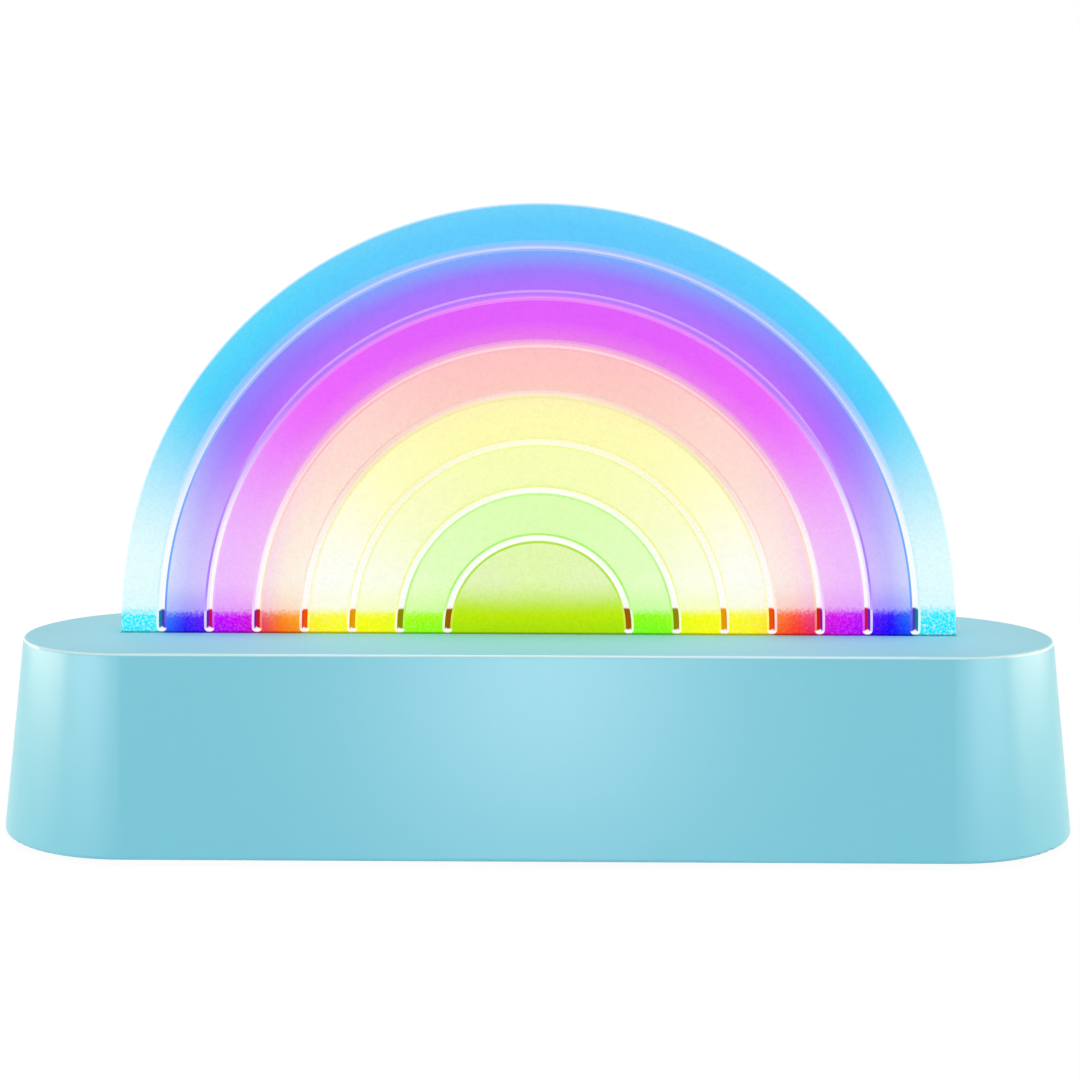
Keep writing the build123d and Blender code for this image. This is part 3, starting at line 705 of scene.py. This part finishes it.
    def lit_foot(
        self, lay: Painter, place: Socket, arch: Socket, lamp: Socket, habits: tuple[Socket, Socket]
    ) -> Socket:
        """Lays the lamps' colour over the foot of the arches, a little higher towards +X.

        Args:
            lay: Lays nodes in the material's tree.
            place: Object coordinates, in metres.
            arch: The arch's colour above the foot.
            lamp: The lamp's colour in the foot; on a groove's web and wall it is painted shade instead.
            habits: The share of white glints, and of the lamp's colour that rises past the foot.

        Returns:
            The colour's output.
        """
        still = self.surface in (Surface.WEB, Surface.WALL)
        fine = still or self.surface is Surface.EDGE
        grain = (self.groove_grain_mm if fine else self.foot_grain_mm) * MM
        x, _, height = lay.split(place)
        sparkle, halo = habits
        level = lay.math("MULTIPLY_ADD", x, -self.foot_lean, height)
        speck = lay.noise(place, self.speck_mm, 3.0, 0.75)
        top = GUIDE.foot_top * MM + grain / 2
        soft = 0.1 * MM + 0.45 * grain
        lit = lay.step(lay.math("MULTIPLY_ADD", speck, grain, level), top + soft, top - soft)
        # A groove's web and wall show the painted shade in the foot, without glints or halo.
        if still:
            return lay.mix(lit, arch, lamp)
        rise, fade, below = ((GUIDE.foot_top + over) * MM for over in (5.5, 22.0, -1.0))
        both = lay.math("MAXIMUM", lit, lay.remap(level, rise, below, high=halo, smooth=True))
        root, body = ((GUIDE.base_top + over) * MM for over in (0.3, 3.0))
        gamma = lay.remap(height, root, body, self.root_gamma, 1.0)
        foot = lay.mix(both, arch, lay.put("Gamma", "Color", {"Color": lamp, "Gamma": gamma}))
        glint = lay.math("MULTIPLY", lay.remap(speck, 0.48, 0.66), lay.remap(height, fade, below))
        return lay.mix(lay.math("MULTIPLY", glint, sparkle, clamp=True), foot, WHITE)


@dataclass(frozen=True)
class LightPackage(Finish):
    """White ceramic light package: a cup of clear resin that glows in its arch's colour."""

    shell: str = "#F2F0E8"
    window_mm: float = 1.9
    inner_place_mm: float = 7.6
    inner_half_mm: float = 13.0
    light: float = 1.2

    def paint(self, lay: Painter, place: Socket) -> Inputs:
        """Lays the window by the distance to the nearest package's middle.

        The packages stand a pitch apart from the first arch out, and one more serves each half of
        the half disc. Folding |x| back and forth over the pitch gives the distance along X.
        """
        x, y, _ = lay.split(place)
        span = lay.math("ABSOLUTE", x)
        first = GUIDE.first_groove + GUIDE.pitch / 2
        folded = lay.math("PINGPONG", lay.math("SUBTRACT", span, first * MM), GUIDE.pitch * MM / 2)
        near = lay.math("ABSOLUTE", lay.math("SUBTRACT", span, self.inner_place_mm * MM))
        is_inner = lay.math("LESS_THAN", span, self.inner_half_mm * MM)
        along = lay.remap(is_inner, low=folded, high=near)
        window = lay.remap(
            lay.length(lay.join(along, y, 0.0)),
            (self.window_mm + 0.05) * MM,
            (self.window_mm - 0.05) * MM,
        )
        stops = GUIDE.band_stops([b.right for b in BANDS], [(0.0, 0.0)] * len(BANDS))
        lamp = lay.ramp(lay.math("DIVIDE", span, GUIDE.radius * MM), stops)
        return {
            "Base Color": lay.mix(window, self.shell, lamp),
            "Emission Color": lay.mix(window, BLACK, lamp),
            "Emission Strength": self.light,
            "Roughness": 0.35,
        }


# Satin ABS, as moulded in a spark-eroded tool: an even pale blue that whitens where it turns away.
# Its top is painted paler as light from above, with a painted highlight along its front edge.
BASE_ABS = Moulded(
    "abs_moulded_satin_blue", "#6AC5DB", "#6DC7DC", (0.28, 0.33), 0.3, 0.002, specular=0.8,
    matt_and_painted_light_above_mm=32.95,
)
# The same plastic from a coarser tool: the cover is duller than the shell.
COVER_ABS = Moulded("abs_moulded_matt_blue", "#78C2D4", "#7CC6D7", (0.5, 0.62), 0.6, 0.02)
# A polished tool: the button shines more than the shell, so that a finger finds it.
BUTTON_ABS = Moulded("abs_moulded_gloss_white", "#EEF4F5", "#E9F0F2", (0.22, 0.3), 0.5, 0.002)
# Filled polyester: a warm white that is dull, so it throws light back evenly.
WHITE_PBT = Moulded("polyester_moulded_white", "#E9E8E2", "#E2E1DA", (0.45, 0.6), 0.5, 0.012)
# Moulded silicone: a soft grey with a faint bloom at its edges.
SEAL_SILICONE = Moulded(
    "silicone_moulded_grey", "#C9CDCF", "#BFC4C6", (0.55, 0.7), 0.25, 0.01, ior=1.43, sheen=0.15
)
# Cast opal sheet: smooth and milky.
OPAL_ACRYLIC = Moulded(
    "acrylic_opal_sheet", "#F6F6F2", "#F0F1EE", (0.35, 0.5), 0.4, 0.004, ior=1.49
)
# Unfilled nylon: the yellowish white of small connectors.
SOCKET_NYLON = Moulded("nylon_moulded_ivory", "#D9CFB4", "#D2C7AA", (0.4, 0.55), 0.4, 0.008)
# Glass-filled epoxy: near black with a very fine, dry grain.
BLACK_EPOXY = Moulded("epoxy_moulded_black", "#1C1C1E", "#242426", (0.45, 0.65), 0.15, 0.008)
# Pressed and fired powder: dark grey, dull and slightly pitted.
FERRITE = Moulded("ferrite_sintered", "#35353A", "#3F3F44", (0.55, 0.75), 0.25, 0.02)
# Foil laminate drawn over the cell: silver grey with soft creases under a thin gloss.
CELL_WRAP = Moulded(
    "foil_laminate_silver_grey", "#A9ADB3", "#979BA2", (0.25, 0.42), 2.2, 0.05, 9.0, coat=0.3
)
# Moulded rubber: dark, dull and a little dusty where it turns away.
FOOT_RUBBER = Moulded(
    "rubber_moulded_dark_grey", "#3A3B3E", "#333437", (0.7, 0.85), 0.3, 0.015, sheen=0.2
)
# Clear acrylic from a polished tool: a bright tip that lets light through.
PIPE_ACRYLIC = Moulded(
    "acrylic_moulded_clear", "#F2FAF8", "#ECF7F4", (0.08, 0.14), 0.6, 0.002, ior=1.49, clear=0.7
)
# Rolled stainless sheet: bright, with fine lines along the way that it was rolled.
SOCKET_STEEL = RolledMetal(
    "stainless_rolled_bright", "#D4D4D8", (0.16, 0.3), 0.1, stretch=(1.0, 0.08, 1.0)
)
# Zinc on cold-formed steel: a bluish grey with faint lines down the shank.
SCREW_STEEL = RolledMetal("steel_zinc_plated", "#C4C6CC", (0.22, 0.4), 0.2, (1.0, 1.0, 0.3))
# White solder mask: the tracks show only as a low relief.
LIGHT_BOARD = CircuitBoard("glass_epoxy_white_mask", "#E6E8E4", "#F3F4F0", "#CFCBBE")
# Green solder mask: the tracks show lighter than the bare board.
MAIN_BOARD = CircuitBoard("glass_epoxy_green_mask")
# Cut foam: dull, with open pits.
PAD_FOAM = CellFoam("foam_cut_dark_grey")
# Laminated film: pale, with the conductors as grey stripes.
FLAT_CABLE = RibbonFilm("film_laminated_flat_cable")
# Extruded vinyl: one red and one black wire with a soft shine.
CELL_LEAD = PairedWires("vinyl_extruded_red_and_black", bend_centre_mm=(-12.0, 2.042))
# Ceramic and clear resin: white with a window that glows.
PACKAGES = LightPackage("ceramic_light_package")


def closed_piece(
    name: str,
    points: np.ndarray,
    faces: np.ndarray,
    finishes: Sequence[Finish],
    finish_of_face: Optional[np.ndarray] = None,
    sharp: float = 30.0,
) -> bpy.types.Object:
    """Makes a closed mesh of a grid of points: doubles merged, faces outwards, edges kept sharp.

    Args:
        name: The piece's name.
        points: The points, N by 3, in millimetres.
        faces: Quads as indices into the points, M by 4.
        finishes: The piece's finishes.
        finish_of_face: Which finish each quad has, or None for the first.
        sharp: The angle, in degrees, from which an edge is drawn sharp.

    Returns:
        The piece, at the origin.
    """
    mesh = bpy.data.meshes.new(name)
    mesh.from_pydata((points * MM).tolist(), [], faces.tolist())
    for finish in finishes:
        mesh.materials.append(finish.material())
    if finish_of_face is not None:
        mesh.polygons.foreach_set("material_index", finish_of_face.astype(np.int32))
    work = bmesh.new()
    work.from_mesh(mesh)
    bmesh.ops.remove_doubles(work, verts=work.verts, dist=MERGE_MM * MM)
    bmesh.ops.dissolve_degenerate(work, edges=work.edges, dist=MERGE_MM * MM)
    loose = [vertex for vertex in work.verts if not vertex.link_faces]
    bmesh.ops.delete(work, geom=loose, context="VERTS")
    bmesh.ops.recalc_face_normals(work, faces=work.faces)
    work.to_mesh(mesh)
    work.free()
    mesh.polygons.foreach_set("use_smooth", np.ones(len(mesh.polygons), dtype=bool))
    mesh.set_sharp_from_angle(angle=radians(sharp))
    return add_object(name, mesh)


def grid_faces(rows: int, columns: int, wrap_columns: bool = False) -> np.ndarray:
    """Joins a grid of points into quads, row by row.

    Args:
        rows: How many rows of points there are.
        columns: How many points each row has.
        wrap_columns: Whether the last column joins the first.

    Returns:
        The quads' indices, M by 4, with all the quads of the first row of quads first.
    """
    row = np.arange(rows - 1)[:, None] * columns
    column = np.arange(columns if wrap_columns else columns - 1)[None, :]
    following = (column + 1) % columns
    below = row + columns
    corners = [row + column, row + following, below + following, below + column]
    return np.stack(corners, axis=-1).reshape(-1, 4)


def worn(**finishes: Finish) -> Any:
    """Makes a sub-assembly's field: the finish that each of its nodes wears."""
    return field(default_factory=lambda: finishes)


@dataclass
class SubAssembly:
    """Nodes that are put together before the rest, and the finish that each of them wears."""

    finishes: Mapping[str, Finish] = worn()

    def make(self, nodes: Nodes) -> None:
        """Dresses the CAD nodes by their material slots, and leaves their meshes alone."""
        for name, finish in self.finishes.items():
            for place in nodes[name].material_slots:
                place.material = finish.material()
            LOG.info("dressed %s in %s", name, finish.name)


@dataclass
class BaseHousing(SubAssembly):
    """The blue shell, its cover, screws and feet."""

    finishes: Mapping[str, Finish] = worn(
        base_shell=BASE_ABS, bottom_cover=COVER_ABS, cover_screws=SCREW_STEEL
    )
    foot_places: Span = (74.0, 8.0)
    foot_radius: float = 4.5
    foot_thickness: float = 1.8
    foot_dish: float = 0.25
    foot_round: float = 0.45
    sole_ring: float = 0.8
    round_steps: int = 8
    dish_steps: int = 6
    foot_segments: int = 64

    def foot_profile(self) -> np.ndarray:
        """Gives the foot's half section as (radius, height): dished sole, round edge, flat top.

        The dish is a parabola from the middle to the sole's ring, and the edge a quarter circle.
        """
        turn = np.linspace(-pi / 2, 0, self.round_steps + 1)
        edge_radius = self.foot_radius - self.foot_round
        edge = self.foot_round * np.stack([np.cos(turn), 1 + np.sin(turn)], axis=-1)
        reach = np.linspace(0.0, edge_radius - self.sole_ring, self.dish_steps + 1)
        dish = np.stack([reach, self.foot_dish * (1 - (reach / reach[-1]) ** 2)], axis=-1)
        top = np.array([[self.foot_radius, self.foot_thickness], [0.0, self.foot_thickness]])
        return np.concatenate([dish, edge + [edge_radius, 0.0], top])

    def make_feet(self) -> None:
        """Turns the foot's section about the four feet's axes, as one moulded set of pads."""
        profile = self.foot_profile()
        angle = np.linspace(0, 2 * pi, self.foot_segments, endpoint=False)
        radius, height = profile[:, None, 0], profile[:, None, 1]
        turned = [radius * np.cos(angle), radius * np.sin(angle), height + 0 * angle]
        ring = np.stack(turned, axis=-1).reshape(-1, 3)
        quads = grid_faces(len(profile), self.foot_segments, wrap_columns=True)
        x, y = self.foot_places
        places = np.array([[sx * x, sy * y, 0.0] for sx in (-1, 1) for sy in (-1, 1)])
        points = (ring[None] + places[:, None]).reshape(-1, 3)
        faces = (quads[None] + np.arange(4)[:, None, None] * len(ring)).reshape(-1, 4)
        feet = closed_piece("rubber_feet", points, faces, [FOOT_RUBBER])
        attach(feet, "base")
        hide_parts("feet")
        LOG.info("made the feet")

    def make(self, nodes: Nodes) -> None:
        """Builds and dresses the housing."""
        super().make(nodes)
        self.make_feet()


@dataclass
class LightGuide(SubAssembly):
    """The glowing plate with what holds it under the roof."""

    finishes: Mapping[str, Finish] = worn(
        plate_seal=SEAL_SILICONE, plate_holder=WHITE_PBT, diffuser_strip=OPAL_ACRYLIC,
        holder_screws=SCREW_STEEL,
    )
    shape: GuideShape = GUIDE
    arc_steps: int = 180
    end_steps: int = 6
    edge_rings: tuple[float, ...] = (0.35, 0.7, 0.94, 1.0)

    def section(self) -> tuple[np.ndarray, ...]:
        """Lays out the plate's section from the centre over the rim and back to the centre.

        Each column is a place across an arch: the groove's middle radius, its side of the groove
        (-1, 0 or 1), whether it is past the groove's soft edge (not 0), and its depth.

        Returns:
            Middle radii, pairs of side and edge, depths, and the surface of each strip.
        """
        shape = self.shape
        face = -shape.thickness / 2
        edge = face + shape.edge_sink
        web = -shape.web / 2
        radii = [0.0]
        steps = [(0, 0)]
        depths = [face]
        kinds = [Surface.FACE]
        for radius in shape.groove_radii():
            radii += [radius] * 6
            steps += [(-1, -1), (-1, 0), (-1, 0), (1, 0), (1, 0), (1, 1)]
            depths += [face, edge, web, web, edge, face]
            kinds += [Surface.EDGE, Surface.WALL, Surface.WEB, Surface.WALL, Surface.EDGE]
            kinds += [Surface.FACE]
        radii += [shape.radius - shape.rim_edge, shape.radius, shape.ear_half]
        steps += [(0, 0)] * 3
        depths += [face, face + shape.rim_edge, face]
        kinds += [Surface.RIM, Surface.FACE]
        there_and_back = [*kinds, Surface.FACE, *kinds[::-1]]
        return (
            np.array(radii + radii[::-1]),
            np.array(steps + steps[::-1]),
            np.array(depths + [-depth for depth in depths[::-1]]),
            np.array([kind.value for kind in there_and_back]),
        )

    def leg_levels(self) -> np.ndarray:
        """Gives the heights of the rows below the arches' centre, from the centre down."""
        shape = self.shape
        half = shape.groove_width / 2
        ends = half * np.sin(np.linspace(0, pi / 2, self.end_steps + 1))
        past = half + shape.groove_edge * np.array(self.edge_rings)
        rest = [*shape.rim_fade[::-1], shape.ear_top, shape.ear_top, shape.tongue_bottom]
        return np.concatenate([shape.centre_height - ends, shape.centre_height - past, rest])

    def points(
        self, levels: np.ndarray, radii: np.ndarray, steps: np.ndarray, depths: np.ndarray
    ) -> np.ndarray:
        """Carries the section along the outline of the arches: up a leg, round, and down again.

        A point of an arch is (radius * cos turn, depth, centre + radius * sin turn). In the legs
        its radius is its distance from the middle, and a groove's half width at a height is that
        of the circle about its end, which gives the groove a round foot.

        Args:
            levels: The heights of a leg's rows.
            radii: Each column's middle radius.
            steps: Each column's side of the groove, and whether it is past the soft edge.
            depths: Each column's depth in the arches.

        Returns:
            The points, rows by columns by 3.
        """
        shape = self.shape
        half = shape.groove_width / 2
        wide_half = half + shape.groove_edge
        side = steps[:, 0]
        wide = steps[:, 1] != 0
        turn = np.linspace(pi, 0, self.arc_steps + 1)[1:-1, None]
        span = radii + side * np.where(wide, wide_half, half)
        height = shape.centre_height + span * np.sin(turn)
        across = span * np.cos(turn)
        arcs = np.stack([across, np.broadcast_to(depths, across.shape), height], axis=-1)

        below = (shape.centre_height - levels)[:, None]
        inner = np.sqrt(np.maximum(half**2 - below**2, 0))
        outer = np.sqrt(np.maximum(wide_half**2 - below**2, 0))
        reach = radii + side * np.where(wide, outer, inner)
        outward = np.where(np.arange(len(radii)) < len(radii) // 2, -1, 1)
        face = outward * shape.thickness / 2
        sink = np.clip((wide_half - below) / shape.groove_edge, 0, 1) * shape.edge_sink
        past = (below > half) & ~np.isclose(below, half)
        depth = np.where(past & (side != 0) & ~wide, face - outward * sink, depths)
        low, high = shape.rim_fade
        fade = np.clip((levels[:, None] - low) / (high - low), 0, 1)
        on_rim = np.isclose(radii, shape.radius)
        depth = np.where(on_rim, face - outward * shape.rim_edge * fade, depth)
        leg = np.stack([reach, depth, np.broadcast_to(levels[:, None], reach.shape)], axis=-1)
        return np.concatenate([leg[::-1] * np.array([-1, 1, 1]), arcs, leg])

    def faces(self, rows: int, columns: int, legs: int, kinds: np.ndarray) -> tuple[np.ndarray, ...]:
        """Joins the points, and closes the plate along its rim, over its ears and at its foot.

        A groove's web and walls stop where it ends, and the ears are only below their top.

        Args:
            rows: How many rows of points there are.
            columns: How many points each row has.
            legs: How many of the rows are in each leg.
            kinds: The surface of each strip.

        Returns:
            The quads, M by 4, and the surface of each.
        """
        kind = np.tile(kinds, rows - 1)
        strip = np.tile(np.arange(columns - 1), rows - 1)
        row = np.repeat(np.arange(rows - 1), columns - 1)
        in_leg = (row < legs - 1) | (row >= rows - legs)
        down = np.where(row < legs, legs - 2 - row, row - rows + legs)
        in_groove = np.isin(kind, [Surface.WALL.value, Surface.WEB.value])
        middle = columns // 2
        outermost = np.isin(strip, [middle - 2, middle - 1, middle])
        ended = in_groove & in_leg & (down >= self.end_steps)
        keep = ~ended & ~(outermost & ~(in_leg & (down >= legs - 2)))

        index = np.arange(rows * columns).reshape(rows, columns)
        front = middle - 2
        back = columns - 1 - front
        above_ears = np.arange(2, rows - 3)
        corners = ((0, front), (0, back), (1, back), (1, front))
        rim = np.stack([index[above_ears + lower, at] for lower, at in corners], axis=-1)
        ledge = [front, front + 1, back - 1, back]
        near = np.arange(middle - 1)
        sole = np.stack([near, near + 1, columns - 2 - near, columns - 1 - near], axis=-1)
        closing = [
            rim,
            np.array([index[1, ledge], index[rows - 2, ledge]]),
            index[0, sole],
            index[rows - 1, sole],
        ]
        quads = np.concatenate([grid_faces(rows, columns)[keep], *closing])
        extra = np.full(len(quads) - keep.sum(), Surface.RIM.value)
        return quads, np.concatenate([kind[keep], extra])

    def make_plate(self) -> None:
        """Makes the plate, which takes the place of the CAD one."""
        radii, steps, depths, kinds = self.section()
        levels = self.leg_levels()
        points = self.points(levels, radii, steps, depths)
        faces, kind = self.faces(*points.shape[:2], len(levels), kinds)
        finishes = [GlowingAcrylic(f"acrylic_frosted_{s.name.lower()}", surface=s) for s in Surface]
        plate = closed_piece(
            "light_guide_plate", points.reshape(-1, 3), faces, finishes, kind, sharp=25.0
        )
        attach(plate, "base")
        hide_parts("rainbow_plate")
        LOG.info("made the light guide: %d faces", len(plate.data.polygons))

    def make(self, nodes: Nodes) -> None:
        """Builds the plate and dresses its holder."""
        super().make(nodes)
        self.make_plate()


@dataclass
class LightEngine(SubAssembly):
    """The divider, the light board and the cable under the plate."""

    finishes: Mapping[str, Finish] = worn(
        light_divider=WHITE_PBT, led_board=LIGHT_BOARD, leds=PACKAGES, led_socket=SOCKET_NYLON,
        ribbon=FLAT_CABLE, divider_screws=SCREW_STEEL,
    )


@dataclass
class ControlUnit(SubAssembly):
    """The control board with its socket, switch, charge light and supply parts."""

    finishes: Mapping[str, Finish] = worn(
        control_board=MAIN_BOARD, control_socket=SOCKET_NYLON, control_screws=SCREW_STEEL,
        control_chip=BLACK_EPOXY, power_inductor=FERRITE, usb_shell=SOCKET_STEEL,
        usb_tongue=BLACK_EPOXY, charge_led=WHITE_PBT, charge_light_pipe=PIPE_ACRYLIC,
        switch_body=BLACK_EPOXY,
    )


@dataclass
class PushButton(SubAssembly):
    """What moves: the button's cap and the switch's plunger."""

    finishes: Mapping[str, Finish] = worn(button_cap=BUTTON_ABS, switch_plunger=WHITE_PBT)


@dataclass
class BatteryPack(SubAssembly):
    """The cell on its pad, with its lead and plug."""

    finishes: Mapping[str, Finish] = worn(
        battery_cell=CELL_WRAP, battery_pad=PAD_FOAM, battery_wires=CELL_LEAD,
        battery_plug=SOCKET_NYLON, battery_header=SOCKET_NYLON,
    )


@dataclass(frozen=True)
class Softbox:
    """One soft light: where it hangs, what it aims at, width and height, power and tint."""

    name: str
    place: Point
    aim: Point
    size: Span
    power: float
    tint: str = WHITE

    def hang(self) -> None:
        """Hangs the light. Its face is turned to what it aims at, and the camera doesn't see it."""
        lamp = bpy.data.lights.new(self.name, "AREA")
        lamp.shape = "RECTANGLE"
        lamp.size, lamp.size_y = self.size
        lamp.energy = self.power
        lamp.color = linear(self.tint)[:3]
        holder = add_object(self.name, lamp)
        holder.location = self.place
        way = Vector(self.aim) - Vector(self.place)
        holder.rotation_euler = way.to_track_quat("-Z", "Y").to_euler()
        holder.visible_camera = False


@dataclass
class Studio:
    """Pale floor, white surroundings, soft lights and the camera. Sizes here are metres."""

    camera_place: Point = (0.00127, -0.24854, 0.07617)
    yaw: float = 0.0041
    pitch: float = -0.1104
    roll: float = -0.0037
    focal_px: float = 1486.0
    image_px: float = 1080.0
    sensor_mm: float = 36.0
    near_clip: float = 0.01
    floor_half: float = 3.0
    floor_colour: str = "#EFEFEF"
    floor_glow: float = 1.03
    floor_shown: Span = (0.93, 1.0)
    floor_fade: Span = (0.15, 0.7)
    surround: float = 0.08
    lights: tuple[Softbox, ...] = (
        Softbox("overhead", (0.0, -0.1, 0.9), (0.0, 0.0, 0.03), (0.6, 0.4), 3.8),
        Softbox("front_card", (0.0, -0.75, 0.06), (0.0, 0.0, 0.03), (0.1, 0.16), 0.7),
        Softbox("left_card", (-0.5, -0.5, 0.08), (-0.05, 0.0, 0.03), (0.42, 0.16), 0.95),
        Softbox("right_card", (0.5, -0.5, 0.08), (0.05, 0.0, 0.03), (0.42, 0.16), 0.95),
        Softbox("left_wing", (-0.6, 0.02, 0.1), (-0.06, 0.0, 0.02), (0.56, 0.2), 2.35, WARM),
        Softbox("right_wing", (0.6, 0.02, 0.1), (0.06, 0.0, 0.02), (0.56, 0.2), 2.35, WARM),
        Softbox("rear_fill", (0.0, 1.2, 0.5), (0.0, 0.0, 0.03), (1.8, 0.9), 4.2),
    )

    def lay_floor(self) -> None:
        """Lays the floor. Seen directly it is nearly white, and keeps a part of the shadow."""
        half = self.floor_half
        mesh = bpy.data.meshes.new("floor")
        corners = [(-half, -half, 0.0), (half, -half, 0.0), (half, half, 0.0), (-half, half, 0.0)]
        mesh.from_pydata(corners, [], [(0, 1, 2, 3)])
        add_object("floor", mesh)
        material = bpy.data.materials.new("paper_floor")
        lay = Painter(bare_tree(material))
        paper = lay.put("BsdfDiffuse", "BSDF", {"Color": linear(self.floor_colour)})
        glow = {"Color": linear(WHITE), "Strength": self.floor_glow}
        shown = lay.put("Emission", "Emission", glow)
        away = lay.length(lay.put("TexCoord", "Object", {}))
        white = lay.remap(away, *self.floor_fade, *self.floor_shown)
        part = lay.math("MULTIPLY", lay.seen(), white)
        both = lay.put("MixShader", "Shader", {0: part, 1: paper, 2: shown})
        add_node(lay.tree, "ShaderNodeOutputMaterial", {"Surface": both})
        mesh.materials.append(material)

    def light_surroundings(self) -> None:
        """Sets the world: white where it is seen, and a softer pale grey as light on the object."""
        world = bpy.data.worlds.new("surroundings")
        bpy.context.scene.world = world
        lay = Painter(bare_tree(world))
        strength = lay.remap(lay.seen(), low=self.surround)
        inputs = {"Color": linear(WHITE), "Strength": strength}
        sky = lay.put("Background", "Background", inputs)
        add_node(lay.tree, "ShaderNodeOutputWorld", {"Surface": sky})

    def place_camera(self) -> None:
        """Places the camera where the photograph was taken from.

        Its turn is the yaw about Z, then the pitch about X, then the roll about the line of sight,
        applied to a camera that looks along +Y. The lens is the focal length over the image width.
        """
        data = bpy.data.cameras.new("camera")
        data.sensor_width = self.sensor_mm
        data.sensor_fit = "HORIZONTAL"
        data.lens = self.focal_px / self.image_px * self.sensor_mm
        data.clip_start = self.near_clip
        camera = add_object("camera", data)
        turn = (
            Matrix.Rotation(self.yaw, 4, "Z")
            @ Matrix.Rotation(self.pitch, 4, "X")
            @ Matrix.Rotation(self.roll, 4, "Y")
            @ Matrix.Rotation(pi / 2, 4, "X")
        )
        camera.matrix_world = Matrix.Translation(self.camera_place) @ turn
        bpy.context.scene.camera = camera

    def make(self) -> None:
        """Sets up the studio."""
        self.lay_floor()
        self.light_surroundings()
        for light in self.lights:
            light.hang()
        self.place_camera()
        bpy.context.scene.view_settings.view_transform = "Standard"
        LOG.info("set up the studio")


def main() -> None:
    """Builds the night light's looks, sub-assembly by sub-assembly, and the studio around it."""
    logging.basicConfig(level=logging.INFO, format="%(message)s")
    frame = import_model()
    for kind in (BaseHousing, LightGuide, LightEngine, ControlUnit, PushButton, BatteryPack):
        kind().make(frame["nodes"])
    Studio().make()


if __name__ == "__main__":
    main()
